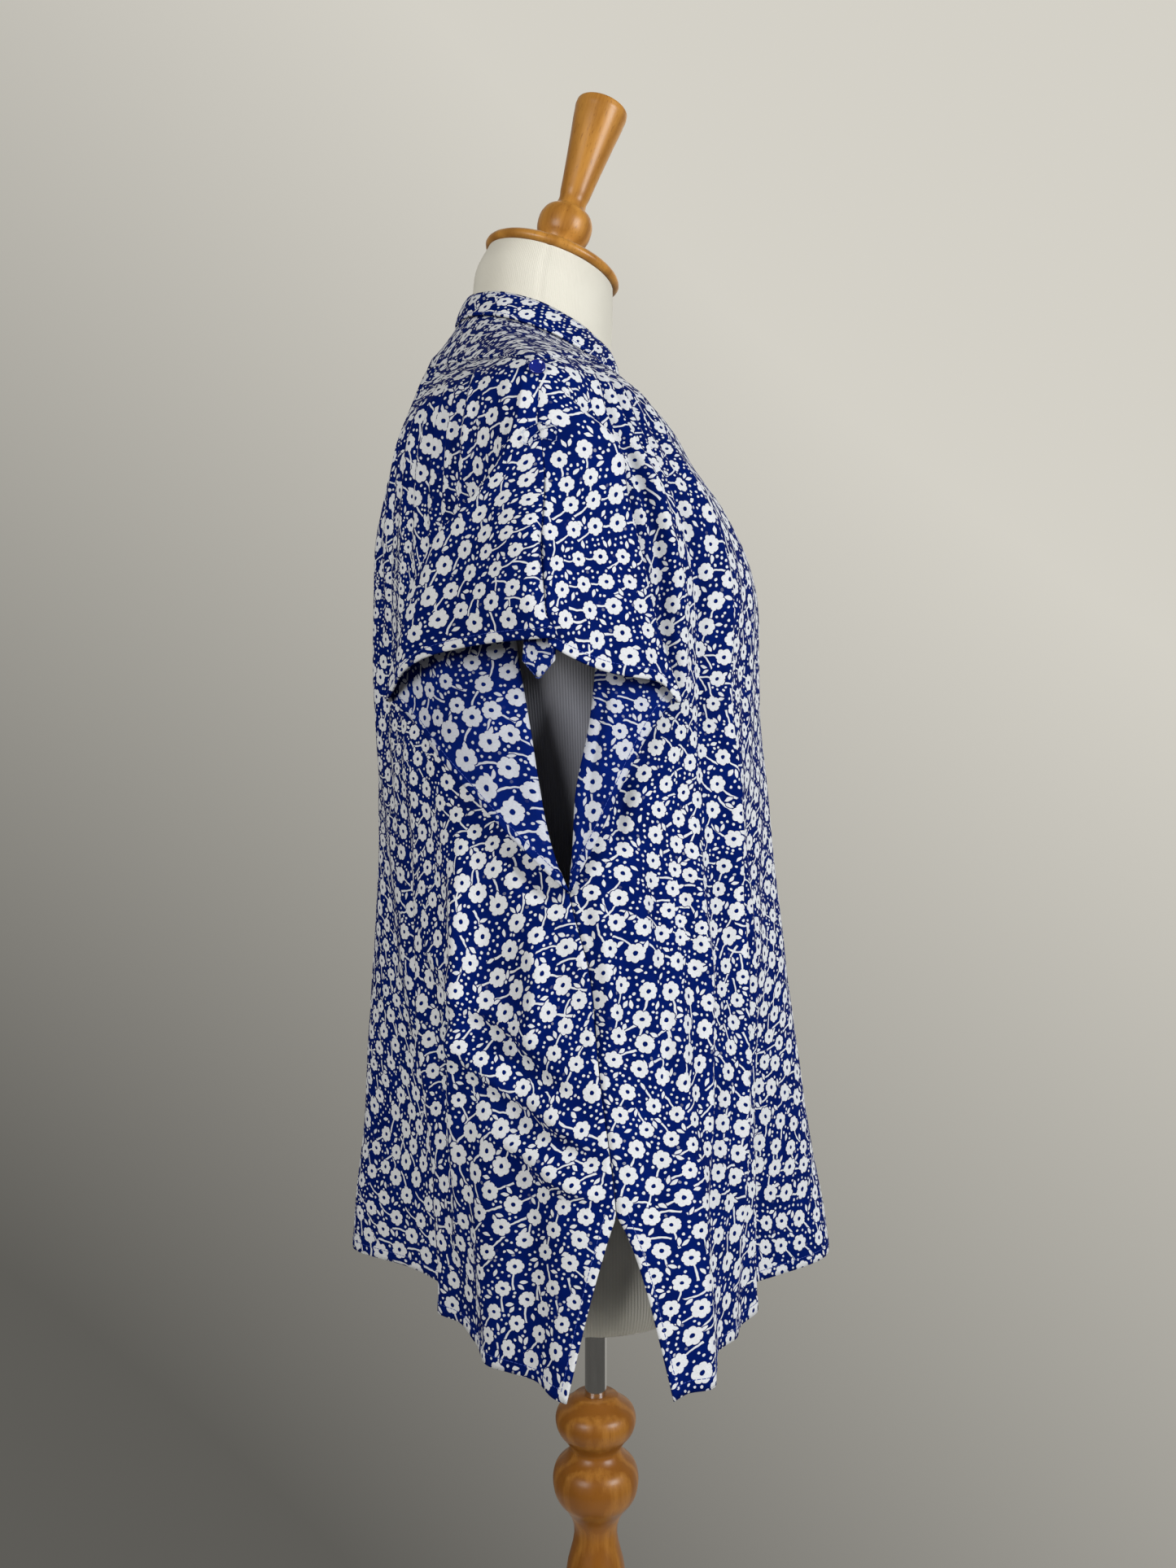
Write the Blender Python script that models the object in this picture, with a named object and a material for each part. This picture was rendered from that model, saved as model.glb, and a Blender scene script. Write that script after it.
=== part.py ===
# Batwing blouse worn by a limbless dress form on a turned wooden stand.
# Metres, +Z up. The wearer faces -Y and the wearer's right side is -X.
# The origin is on the floor under the middle of the stand.

import math
from collections import namedtuple

import bmesh
import bpy
import numpy as np

# Driving dimensions
WALL = 0.0012
SEAM_GAP = 0.0007
COLLAR_WALL = 0.0018
TAB_WALL = 0.0015
FIT_GAP = 0.0003

FORM_BOTTOM = 0.768
NECK_TILT = math.radians(17.5)
NECK_TOP = (0.0, 0.0330, 1.4882)

POLE_RADIUS = 0.008
COLUMN_TOP = 0.660

# Blouse columns and rows of each half panel
BODY_COLUMNS = 20
UPPER_ROWS = 10
LOWER_ROWS = 10
UNDERARM_HEIGHT = 1.044
SLIT_TOP = 0.857
HEM_CENTRE = 0.772
HEM_SIDE = 0.755
HEM_SPREAD_BACK = 13.0
HEM_SPREAD_FRONT = 14.5
RIDGE_TURN = 10.8
FOLD_GAP_TOP = 0.0036
FOLD_GAP = 0.0066
UNDERARM_GAP = 0.0012
FOLD_TURN = 2.2
INNER_LEAF_RISE = 0.010
OUTER_LEAF_POWER = 1.15
BACK_HEM_BOW = 1.8
FRONT_HEM_BOW = 0.6
NECK_SLIT_ROWS = 3
NECK_SLIT_GAP = 0.0032
NECK_SLIT_FOOT_GAP = 0.0008
GATHER_RISE = 0.0016
CENTRE_DROP = 0.004
SAG_POWER = 1.5
PULL_SHARE = 0.25

# Neckline ring where the collar meets the yoke and the front
RING_HALF_WIDTH = 0.0755
RING_HALF_DEPTH = 0.0600
RING_Y = 0.0420
RING_HEIGHT = 1.4210
RING_SLOPE = 0.37
RING_ARCH = 0.5
COLLAR_TOP_HALF_WIDTH = 0.0602
COLLAR_TOP_HALF_DEPTH = 0.0555
COLLAR_TOP_Y = 0.0410
COLLAR_TOP_HEIGHT = 1.4435
COLLAR_TOP_SLOPE = 0.383
COLLAR_TOP_ARCH = 1.7
COLLAR_LIFT = 0.0016
COLLAR_OPENING = 3.0
YOKE_FRONT_TURN = 34.0
NECK_RATE = 1.22
NECK_EDGE_DROP = 0.0005
NECK_BLEND_TURN = 14.0
YOKE_FRONT_HEIGHT = 1.4050
BACK_SEAM_TOP = 1.4200
FRONT_NECK_TOP = 1.3970
YOKE_END_COLUMN = 10.4
YOKE_GAP = 0.0013
YOKE_CORNER_TURN = 2.5
YOKE_SAG = 0.0012

TAB_HALF_WIDTH = 0.0098
TAB_TOP = 1.310
TAB_TIP = 1.172
TAB_SWING = 0.0105
BUTTON_RADIUS = 0.0051
BUTTON_HEIGHT = 1.3545

RIGHT, LEFT = -1, 1
BACK, FRONT = 1, -1

# One row for each level of the worn blouse, without its centre folds
Section = namedtuple("Section", "height mid_y back_y front_y side_x back_full front_full "
                                "back_ridge front_ridge")
SECTIONS = [
    Section(0.740, -0.012, 0.103, -0.102, 0.2180, 2.20, 2.60, 0.076, 0.070),
    Section(0.772, -0.012, 0.104, -0.102, 0.2160, 2.20, 2.60, 0.074, 0.068),
    Section(0.857, -0.011, 0.117, -0.106, 0.2040, 2.15, 2.45, 0.053, 0.050),
    Section(0.938, -0.001, 0.132, -0.113, 0.1840, 2.10, 2.30, 0.034, 0.032),
    Section(0.994, 0.0045, 0.141, -0.117, 0.1740, 2.05, 2.20, 0.022, 0.021),
    Section(1.044, 0.017, 0.146, -0.117, 0.1670, 2.05, 2.15, 0.014, 0.015),
    Section(1.088, 0.019, 0.149, -0.117, 0.1640, 2.10, 2.10, 0.009, 0.010),
    Section(1.148, 0.022, 0.152, -0.117, 0.1645, 2.10, 2.10, 0.003, 0.004),
    Section(1.194, 0.025, 0.1535, -0.1175, 0.1665, 2.10, 2.10, 0.0, 0.0),
    Section(1.244, 0.029, 0.153, -0.116, 0.1725, 2.10, 2.10, 0.0, 0.0),
    Section(1.298, 0.0325, 0.150, -0.096, 0.1885, 2.00, 1.90, 0.0, 0.0),
    Section(1.328, 0.0350, 0.146, -0.076, 0.1950, 1.90, 1.75, 0.0, 0.0),
    Section(1.360, 0.0360, 0.1395, -0.0595, 0.1890, 1.65, 1.60, 0.0, 0.0),
    Section(1.380, 0.0390, 0.1345, -0.040, 0.1550, 1.50, 1.50, 0.0, 0.0),
    Section(1.400, 0.0420, 0.1275, -0.0205, 0.1180, 1.50, 1.50, 0.0, 0.0),
    Section(1.425, 0.043, 0.116, -0.010, 0.0755, 1.80, 1.80, 0.0, 0.0),
    Section(1.450, 0.043, 0.104, -0.004, 0.0700, 1.80, 1.80, 0.0, 0.0),
]

# Long folds: turn is the angle from the centre line, 90 at the side seam; rise is outwards
Fold = namedtuple("Fold", "panel top_turn top_height foot_turn foot_height half_turn top_rise foot_rise")
FOLDS = [
    Fold(BACK, 38.0, 1.16, 29.0, 0.74, 4.5, 0.003, 0.011),
    Fold(BACK, 31.0, 1.12, 21.5, 0.74, 4.5, -0.003, -0.011),
    Fold(BACK, 62.0, 1.30, 52.0, 0.74, 6.0, 0.003, 0.006),
    Fold(BACK, 71.0, 1.02, 66.0, 0.74, 5.0, -0.002, -0.006),
    Fold(FRONT, 37.0, 1.20, 24.0, 0.74, 4.5, 0.003, 0.009),
    Fold(FRONT, 30.0, 1.16, 17.0, 0.74, 4.5, -0.003, -0.009),
    Fold(FRONT, 74.0, 1.10, 62.0, 0.74, 6.0, 0.004, 0.007),
    Fold(FRONT, 64.0, 1.10, 47.0, 0.74, 6.0, -0.003, -0.006),
    Fold(FRONT, 83.0, 1.05, 79.0, 0.86, 4.0, -0.004, -0.002),
]

# Sleeve drape, by fall from the yoke seam (0) to the sleeve hem (1): the inner fold that
# edges the sleeve opening, the outer fold that runs to the sleeve's corner, and the
# overarm seam
Drape = namedtuple("Drape", "fall inner_turn inner_height outer_turn outer_height outer_lift "
                            "seam_height seam_lift")
BACK_DRAPE = [
    Drape(0.00, 74.0, 1.3780, 82.0, 1.3710, 0.000, 1.3630, 0.000),
    Drape(0.15, 76.0, 1.3320, 79.0, 1.3380, 0.003, 1.3390, 0.001),
    Drape(0.40, 76.5, 1.2450, 66.0, 1.2800, 0.006, 1.2960, 0.010),
    Drape(0.70, 80.2, 1.1460, 48.0, 1.2180, 0.006, 1.2450, 0.031),
    Drape(0.87, 83.6, 1.0860, 38.0, 1.1850, 0.006, 1.2160, 0.038),
    Drape(1.00, 90.0, 1.0440, 33.0, 1.1640, 0.006, 1.1940, 0.041),
]
FRONT_DRAPE = [
    Drape(0.00, 74.0, 1.3760, 82.0, 1.3700, 0.000, 1.3630, 0.000),
    Drape(0.15, 76.0, 1.3320, 80.0, 1.3380, 0.003, 1.3390, 0.001),
    Drape(0.40, 77.5, 1.2450, 74.0, 1.2820, 0.007, 1.2960, 0.010),
    Drape(0.70, 81.3, 1.1500, 67.0, 1.2200, 0.009, 1.2440, 0.031),
    Drape(0.85, 86.0, 1.1000, 64.0, 1.1890, 0.010, 1.2170, 0.037),
    Drape(1.00, 90.0, 1.0440, 62.0, 1.1600, 0.010, 1.1910, 0.041),
]
INNER_LEAF_COLUMNS = 5
OUTER_LEAF_COLUMNS = 6

# Dress form levels; slope is the rise of a level towards the back
FormRing = namedtuple("FormRing", "height mid_y half_width half_depth slope fullness")
FORM_RINGS = [
    FormRing(0.7680, 0.004, 0.1560, 0.0890, 0.000, 2.2),
    FormRing(0.7740, 0.003, 0.1610, 0.0940, 0.000, 2.2),
    FormRing(0.8200, 0.003, 0.1640, 0.0970, 0.000, 2.2),
    FormRing(0.8800, 0.005, 0.1600, 0.1010, 0.000, 2.2),
    FormRing(0.9600, 0.010, 0.1430, 0.0990, 0.000, 2.2),
    FormRing(1.0400, 0.015, 0.1240, 0.0930, 0.000, 2.2),
    FormRing(1.1000, 0.018, 0.1260, 0.0970, 0.000, 2.2),
    FormRing(1.1700, 0.020, 0.1430, 0.1120, 0.000, 2.15),
    FormRing(1.2400, 0.020, 0.1590, 0.1250, 0.000, 2.1),
    FormRing(1.3000, 0.030, 0.1715, 0.1110, 0.000, 1.95),
    FormRing(1.3450, 0.040, 0.1790, 0.0945, 0.000, 1.75),
    FormRing(1.3620, 0.0425, 0.1720, 0.0875, 0.050, 1.58),
    FormRing(1.3800, 0.0432, 0.1482, 0.0790, 0.120, 1.43),
    FormRing(1.4000, 0.0430, 0.1102, 0.0680, 0.250, 1.40),
    FormRing(1.4140, 0.0411, 0.0752, 0.0572, 0.370, 1.70),
    FormRing(1.4210, 0.0411, 0.0672, 0.0545, 0.385, 2.0),
    FormRing(1.4450, 0.0398, 0.0556, 0.0512, 0.390, 2.0),
    FormRing(1.4700, 0.0375, 0.0520, 0.0500, 0.340, 2.0),
    FormRing(1.4878, 0.0333, 0.0488, 0.0458, 0.3153, 2.0),
]
FORM_SIDES = 36

# Turned profiles: distance along the axis and radius
Turning = namedtuple("Turning", "along radius")
DISC_PROFILE = [Turning(0.0000, 0.0490), Turning(0.0015, 0.0506), Turning(0.0050, 0.0507),
                Turning(0.0075, 0.0480), Turning(0.0105, 0.0395), Turning(0.0140, 0.0290),
                Turning(0.0170, 0.0220), Turning(0.0185, 0.0200)]
HANDLE_PROFILE = [Turning(0.0188, 0.0160), Turning(0.0215, 0.0168), Turning(0.0260, 0.0190),
                  Turning(0.0330, 0.0202), Turning(0.0400, 0.0192), Turning(0.0450, 0.0160),
                  Turning(0.0480, 0.0118), Turning(0.0510, 0.0106), Turning(0.0600, 0.0114),
                  Turning(0.0800, 0.0138), Turning(0.1000, 0.0165), Turning(0.1180, 0.0190),
                  Turning(0.1235, 0.0194), Turning(0.1270, 0.0180), Turning(0.1290, 0.0140)]
COLUMN_PROFILE = [Turning(0.0400, 0.0400), Turning(0.0480, 0.0395), Turning(0.0560, 0.0330),
                  Turning(0.0640, 0.0270), Turning(0.0900, 0.0235), Turning(0.1600, 0.0232),
                  Turning(0.2600, 0.0262), Turning(0.3600, 0.0285), Turning(0.4400, 0.0270),
                  Turning(0.5320, 0.0215), Turning(0.5720, 0.0184), Turning(0.5770, 0.0215),
                  Turning(0.5850, 0.0280), Turning(0.5950, 0.0312), Turning(0.6030, 0.0312),
                  Turning(0.6110, 0.0280), Turning(0.6170, 0.0215), Turning(0.6220, 0.0192),
                  Turning(0.6270, 0.0215), Turning(0.6330, 0.0265), Turning(0.6400, 0.0293),
                  Turning(0.6460, 0.0293), Turning(0.6520, 0.0262), Turning(0.6565, 0.0200),
                  Turning(0.6600, 0.0160)]
BASE_PROFILE = [Turning(0.0000, 0.1620), Turning(0.0040, 0.1650), Turning(0.0200, 0.1650),
                Turning(0.0270, 0.1610), Turning(0.0300, 0.1540), Turning(0.0330, 0.0620),
                Turning(0.0397, 0.0560)]


def clear_scene():
    for item in list(bpy.data.objects):
        bpy.data.objects.remove(item, do_unlink=True)


def material(name, colour, roughness, metallic=0.0):
    finish = bpy.data.materials.new(name)
    finish.use_nodes = True
    shader = finish.node_tree.nodes["Principled BSDF"]
    shader.inputs["Base Color"].default_value = (*colour, 1.0)
    shader.inputs["Roughness"].default_value = roughness
    shader.inputs["Metallic"].default_value = metallic
    finish.diffuse_color = (*colour, 1.0)
    return finish


def place(name, mesh, finish):
    item = bpy.data.objects.new(name, mesh)
    bpy.context.scene.collection.objects.link(item)
    mesh.materials.append(finish)
    return item


def mesh_from(name, points, faces):
    mesh = bpy.data.meshes.new(name)
    mesh.from_pydata([tuple(point) for point in points], [], faces)
    mesh.update()
    mesh.shade_smooth()
    return mesh


def thicken(item, wall):
    """Give an open sheet its wall, half on each side."""
    solid = item.modifiers.new("wall", "SOLIDIFY")
    solid.thickness = wall
    solid.offset = 0.0
    solid.use_rim = True


def read_row(rows, where):
    """Read a table between its rows on a smooth curve; the first column is the place."""
    table = np.array(rows, dtype=float)
    if table[0, 0] > table[-1, 0]:
        table = table[::-1]
    places = table[:, 0]
    where = min(max(where, places[0]), places[-1])
    k = min(int(np.searchsorted(places, where, side="right")) - 1, len(places) - 2)
    slopes = np.gradient(table, places, axis=0)
    span = places[k + 1] - places[k]
    t = (where - places[k]) / span
    values = ((2 * t**3 - 3 * t**2 + 1) * table[k] + (t**3 - 2 * t**2 + t) * span * slopes[k]
              + (3 * t**2 - 2 * t**3) * table[k + 1] + (t**3 - t**2) * span * slopes[k + 1])
    return type(rows[0])(*values)


def mix(a, b, t):
    return a + (b - a) * t


def ease(t):
    t = min(max(t, 0.0), 1.0)
    return t * t * (3 - 2 * t)


def signed_power(value, power):
    return math.copysign(abs(value) ** power, value)


def fold_rise(panel, turn, height):
    """How far the long folds stand out at one place of a panel."""
    rise = 0.0
    for fold in FOLDS:
        if fold.panel != panel or not fold.foot_height <= height <= fold.top_height:
            continue
        t = (fold.top_height - height) / (fold.top_height - fold.foot_height)
        centre = mix(fold.top_turn, fold.foot_turn, t)
        strength = mix(fold.top_rise, fold.foot_rise, t) * ease(t / 0.25)
        rise += strength * math.exp(-((turn - centre) / fold.half_turn) ** 2)
    return rise


def body_point(panel, side, turn, height, lift=0.0, folds=1.0):
    """A point of the worn cloth: turn runs from the centre line (0) to the side seam (90)."""
    row = read_row(SECTIONS, height)
    edge_y, full, ridge = row.back_y, row.back_full, row.back_ridge
    if panel == FRONT:
        edge_y, full, ridge = row.front_y, row.front_full, row.front_ridge
    depth = edge_y - row.mid_y
    power = 2.0 / full
    sine = math.sin(math.radians(turn))
    cosine = math.cos(math.radians(turn))
    across = row.side_x * sine ** power
    along = depth * signed_power(cosine, power)
    out_x = sine ** (2.0 - power) / row.side_x
    out_y = signed_power(cosine, 2.0 - power) / depth
    size = math.hypot(out_x, out_y)
    rise = ridge * math.exp(-(turn / RIDGE_TURN) ** 2) + folds * fold_rise(panel, turn, height)
    push = lift + rise
    return np.array([side * (across + push * out_x / size),
                     row.mid_y + along + push * out_y / size,
                     height])


def ring_point(side, around, lift=0.0):
    """A point of the neckline ring; around runs from the centre back (0) to the front (180)."""
    across = RING_HALF_WIDTH * math.sin(math.radians(around))
    y = RING_Y + RING_HALF_DEPTH * math.cos(math.radians(around))
    back = y - RING_Y
    height = RING_HEIGHT + RING_SLOPE * back - RING_ARCH * back * back
    return np.array([side * across, y, height + lift])


def back_seam_height(turn, seam_turn):
    """Height of the back yoke seam between the centre back and the inner fold."""
    return mix(BACK_SEAM_TOP, BACK_DRAPE[0].inner_height, (turn / seam_turn) ** SAG_POWER)


def front_seam_height(turn, seam_turn):
    """Height of the front yoke seam between the neckline and the inner fold."""
    start = max(turn - YOKE_FRONT_TURN, 0.0) / (seam_turn - YOKE_FRONT_TURN)
    return mix(YOKE_FRONT_HEIGHT, FRONT_DRAPE[0].inner_height, start ** 1.2)


def top_edge(panel, side, turn):
    """The upper edge of a panel from its centre line to its inner fold."""
    if panel == BACK:
        height = back_seam_height(turn, BACK_DRAPE[0].inner_turn)
        return body_point(BACK, side, turn, height)
    if turn <= YOKE_FRONT_TURN:
        return ring_point(side, 180.0 - turn * NECK_RATE, -NECK_EDGE_DROP)
    height = front_seam_height(turn, FRONT_DRAPE[0].inner_turn)
    seam = body_point(FRONT, side, turn, height)
    join = ring_point(side, 180.0 - YOKE_FRONT_TURN * NECK_RATE, -NECK_EDGE_DROP)
    corner = body_point(FRONT, side, YOKE_FRONT_TURN, YOKE_FRONT_HEIGHT)
    fade = ease(1.0 - (turn - YOKE_FRONT_TURN) / NECK_BLEND_TURN)
    return seam + (join - corner) * fade


def gather(panel, column, fall):
    """Small gathers under the yoke seam, every second column standing out."""
    first = 5 if panel == BACK else 9
    if not first <= column < BODY_COLUMNS - 3:
        return 0.0
    wave = 1.0 if column % 2 else -1.0
    strength = ease(fall / 0.10 + 0.35) * ease((0.52 - fall) / 0.35)
    uneven = 0.75 + 0.25 * math.sin(2.3 * column)
    return GATHER_RISE * wave * strength * uneven


def body_grid_point(panel, side, column, fall):
    """Body cloth from the yoke seam (fall 0) to the underarm level (fall 1)."""
    drape = BACK_DRAPE if panel == BACK else FRONT_DRAPE
    row = read_row(drape, fall)
    share = column / BODY_COLUMNS
    turn = share * row.inner_turn
    centre_top = BACK_SEAM_TOP if panel == BACK else FRONT_NECK_TOP
    centre_height = mix(centre_top, UNDERARM_HEIGHT + CENTRE_DROP, fall)
    height = mix(centre_height, row.inner_height, share ** SAG_POWER)
    point = body_point(panel, side, turn, height, gather(panel, column, fall))
    start = body_point(panel, side, share * drape[0].inner_turn,
                       mix(centre_top, drape[0].inner_height, share ** SAG_POWER))
    pull = top_edge(panel, side, share * drape[0].inner_turn) - start
    return point + pull * ease(1.0 - fall / PULL_SHARE)


def lower_grid_point(panel, side, column, drop):
    """Body cloth from the underarm level (drop 0) to the hem (drop 1)."""
    share = column / BODY_COLUMNS
    centre_height = mix(UNDERARM_HEIGHT + CENTRE_DROP, HEM_CENTRE, drop)
    side_height = mix(UNDERARM_HEIGHT, HEM_SIDE, drop)
    height = mix(centre_height, side_height, share ** SAG_POWER)
    spread = HEM_SPREAD_BACK if panel == BACK else HEM_SPREAD_FRONT
    opened = max(SLIT_TOP - side_height, 0.0) / (SLIT_TOP - HEM_SIDE)
    turn = share * (90.0 - spread * opened ** 0.9)
    return body_point(panel, side, turn, height)


def sleeve_stations():
    """Leaf and share of each sleeve column, from the inner fold to the overarm seam."""
    stations = [("turn_in", 0.0), ("turn_in", 0.5), ("turn_in", 1.0)]
    stations += [("inner", k / INNER_LEAF_COLUMNS) for k in range(1, INNER_LEAF_COLUMNS + 1)]
    stations += [("turn_out", 0.5), ("turn_out", 1.0)]
    stations += [("outer", k / OUTER_LEAF_COLUMNS) for k in range(1, OUTER_LEAF_COLUMNS + 1)]
    return stations


STATIONS = sleeve_stations()


def sleeve_point(panel, side, station, fall):
    """A point of the hanging sleeve, a Z-fold that opens out of the flat shoulder."""
    leaf, share = STATIONS[station]
    row = read_row(BACK_DRAPE if panel == BACK else FRONT_DRAPE, min(fall, 1.0))
    loose = 1.0 - ease((fall - 0.8) / 0.2)
    gap = mix(FOLD_GAP_TOP, FOLD_GAP, ease((fall - 0.2) / 0.5))
    if leaf == "turn_in":
        turn = row.inner_turn + FOLD_TURN * loose * math.sin(math.pi * share)
        lift = gap * share
        height = row.inner_height
    elif leaf == "inner":
        turn = mix(row.inner_turn, row.outer_turn, share)
        lift = mix(gap, max(row.outer_lift, gap), share)
        height = mix(row.inner_height, row.outer_height, share)
        height += INNER_LEAF_RISE * fall * share * math.sin(math.pi * share)
    elif leaf == "turn_out":
        turn = row.outer_turn - FOLD_TURN * math.sin(math.pi * share)
        lift = max(row.outer_lift, gap) + gap * share
        height = row.outer_height
    else:
        turn = mix(row.outer_turn, 90.0, share)
        lift = mix(max(row.outer_lift, gap) + gap, row.seam_lift, share ** OUTER_LEAF_POWER)
        bow = 1.0 + (BACK_HEM_BOW if panel == BACK else FRONT_HEM_BOW) * fall
        height = mix(row.outer_height, row.seam_height, 1.0 - (1.0 - share) ** bow)
    flat_share = station / (len(STATIONS) - 1)
    flat_turn = mix(row.inner_turn, 90.0, flat_share)
    flat_height = mix(row.inner_height, row.seam_height, flat_share)
    folded = ease((fall - 0.12) / 0.42)
    parted = ease((fall - 0.04) / 0.22)
    return body_point(panel, side,
                      mix(flat_turn, turn, folded),
                      mix(flat_height, height, folded),
                      mix(row.seam_lift * flat_share, lift, parted))


def shift_to_seam(point, panel, extra=0.0):
    """Hold the edge of a panel half a seam gap away from the other panel."""
    return point + np.array([0.0, panel * (SEAM_GAP / 2.0 + extra), 0.0])


def panel_sheet(panel):
    """Points and faces of the middle surface of one panel, both halves in one sheet."""
    points, faces, numbers = [], [], {}

    def number(key, point):
        if key not in numbers:
            numbers[key] = len(points)
            points.append(point)
        return numbers[key]

    def body_number(side, row, column):
        if row <= UPPER_ROWS:
            point = body_grid_point(panel, side, column, row / UPPER_ROWS)
        else:
            point = lower_grid_point(panel, side, column, (row - UPPER_ROWS) / LOWER_ROWS)
        if column == BODY_COLUMNS and row >= UPPER_ROWS:
            point = shift_to_seam(point, panel, UNDERARM_GAP if row == UPPER_ROWS else 0.0)
        if row == 0:
            point = point - np.array([0.0, 0.0, SEAM_GAP / 2.0])
        slit = panel == FRONT and row < NECK_SLIT_ROWS
        if column == 0 and slit:
            point[0] = side * mix(NECK_SLIT_GAP, NECK_SLIT_FOOT_GAP, row / NECK_SLIT_ROWS) / 2.0
        if column == 0 and not slit:
            point[0] = 0.0
            return number(("centre", row), point)
        return number((side, row, column), point)

    def sleeve_number(side, row, station):
        if station == 0:
            return body_number(side, row, BODY_COLUMNS)
        point = sleeve_point(panel, side, station, row / UPPER_ROWS)
        if station == len(STATIONS) - 1:
            point = shift_to_seam(point, panel)
        if row == UPPER_ROWS and station < 3:
            point = shift_to_seam(point, panel, UNDERARM_GAP)
        if row == 0:
            point = point - np.array([0.0, 0.0, SEAM_GAP / 2.0])
        return number((side, "sleeve", row, station), point)

    def add_grid(side, reader, rows, columns):
        for row in rows:
            for column in columns:
                corners = [reader(side, row, column), reader(side, row, column + 1),
                           reader(side, row + 1, column + 1), reader(side, row + 1, column)]
                if side * panel == 1:
                    corners.reverse()
                faces.append(corners)

    for side in (RIGHT, LEFT):
        add_grid(side, body_number, range(UPPER_ROWS + LOWER_ROWS), range(BODY_COLUMNS))
        add_grid(side, sleeve_number, range(UPPER_ROWS), range(len(STATIONS) - 1))
    return points, faces


def make_panel(name, panel, finish):
    points, faces = panel_sheet(panel)
    item = place(name, mesh_from(name, points, faces), finish)
    thicken(item, WALL)


def yoke_outer_edge(side):
    """The yoke's outer edge from the centre back round the shoulder end to the front."""
    edge = []
    step = BACK_DRAPE[0].inner_turn / BODY_COLUMNS
    for column in range(0, BODY_COLUMNS + 1, 2):
        edge.append(top_edge(BACK, side, column * step))
    for station in (5, 10, len(STATIONS) - 1):
        edge.append(sleeve_point(BACK, side, station, 0.0))
    for station in (10, 5):
        edge.append(sleeve_point(FRONT, side, station, 0.0))
    for column in (20, 18, 16, 14, 13, 12, 11, YOKE_END_COLUMN):
        edge.append(top_edge(FRONT, side, column * step))
    return [inside_edge(point) for point in edge]


def inside_edge(point):
    """Move a point of the panels' edge a seam gap towards the ridge of the shoulder."""
    ridge = np.array([point[0] * 0.92, read_row(SECTIONS, point[2]).mid_y, point[2]])
    reach = ridge - point
    return point + reach / np.linalg.norm(reach) * YOKE_GAP


def make_yoke(name, finish):
    """A saddle between the neckline ring and the panels' gathered edges."""
    bands = 4
    points, faces = [], []
    right = yoke_outer_edge(RIGHT)
    left = yoke_outer_edge(LEFT)
    outer = right[::-1] + left[1:]
    last = 180.0 - YOKE_FRONT_TURN * NECK_RATE - YOKE_CORNER_TURN
    half = len(right) - 1
    for k, edge in enumerate(outer):
        side = RIGHT if k <= half else LEFT
        share = abs(k - half) / half
        inner = ring_point(side, last * share)
        reach = edge - inner
        for band in range(bands + 1):
            t = band / bands
            sag = YOKE_SAG * math.sin(math.pi * t)
            points.append(inner + reach * t - np.array([0.0, 0.0, sag]))
    for k in range(len(outer) - 1):
        for band in range(bands):
            a = k * (bands + 1) + band
            faces.append([a, a + 1, a + bands + 2, a + bands + 1])
    item = place(name, mesh_from(name, points, faces), finish)
    thicken(item, WALL)


def make_collar(name, finish):
    """A stand collar that rises from the neckline ring and opens at the centre front."""
    steps, bands = 36, 2
    points, faces = [], []
    for k in range(steps + 1):
        around = mix(180.0 - COLLAR_OPENING, COLLAR_OPENING - 180.0, k / steps)
        side = RIGHT if around >= 0 else LEFT
        foot = ring_point(side, abs(around), COLLAR_LIFT)
        y = COLLAR_TOP_Y + COLLAR_TOP_HALF_DEPTH * math.cos(math.radians(around))
        back = y - COLLAR_TOP_Y
        across = side * COLLAR_TOP_HALF_WIDTH * math.sin(math.radians(abs(around)))
        height = COLLAR_TOP_HEIGHT + COLLAR_TOP_SLOPE * back - COLLAR_TOP_ARCH * back * back
        top = np.array([across, y, height])
        for band in range(bands + 1):
            points.append(mix(foot, top, band / bands))
    for k in range(steps):
        for band in range(bands):
            a = k * (bands + 1) + band
            faces.append([a, a + bands + 1, a + bands + 2, a + 1])
    item = place(name, mesh_from(name, points, faces), finish)
    thicken(item, COLLAR_WALL)


def overarm_point(side, height):
    """A point of the overarm seam, carried straight down below the sleeve hem."""
    heights = [row.seam_height for row in BACK_DRAPE][::-1]
    falls = [row.fall for row in BACK_DRAPE][::-1]
    fall = float(np.interp(height, heights, falls))
    point = sleeve_point(BACK, side, len(STATIONS) - 1, fall)
    point[2] = height
    return point, fall


def tab_point(side, across, height):
    """A point of the roll tab, which hangs just inside the overarm seam."""
    seam, fall = overarm_point(side, height)
    across += TAB_SWING * (TAB_TOP - height) / (TAB_TOP - TAB_TIP)
    panel = BACK if across > 0 else FRONT
    leaf = sleeve_point(panel, side, len(STATIONS) - 2, fall) - seam
    leaf[2] = 0.0
    leaf /= np.linalg.norm(leaf)
    inward = WALL / 2.0 + TAB_WALL / 2.0 + 3.0 * FIT_GAP
    return seam + leaf * abs(across) - np.array([side * inward, 0.0, 0.0])


def make_tab(name, side, finish):
    """A narrow strap with a pointed end."""
    columns, rows = 2, 10
    points, faces = [], []
    for row in range(rows + 1):
        height = mix(TAB_TOP, TAB_TIP + 0.010, row / rows)
        for column in range(columns + 1):
            share = 2.0 * column / columns - 1.0
            point = tab_point(side, share * TAB_HALF_WIDTH, height)
            if row == rows:
                point[2] -= 0.010 * (1.0 - abs(share))
            points.append(point)
    for row in range(rows):
        for column in range(columns):
            a = row * (columns + 1) + column
            corners = [a, a + 1, a + columns + 2, a + columns + 1]
            faces.append(corners if side == LEFT else corners[::-1])
    item = place(name, mesh_from(name, points, faces), finish)
    thicken(item, TAB_WALL)


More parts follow.
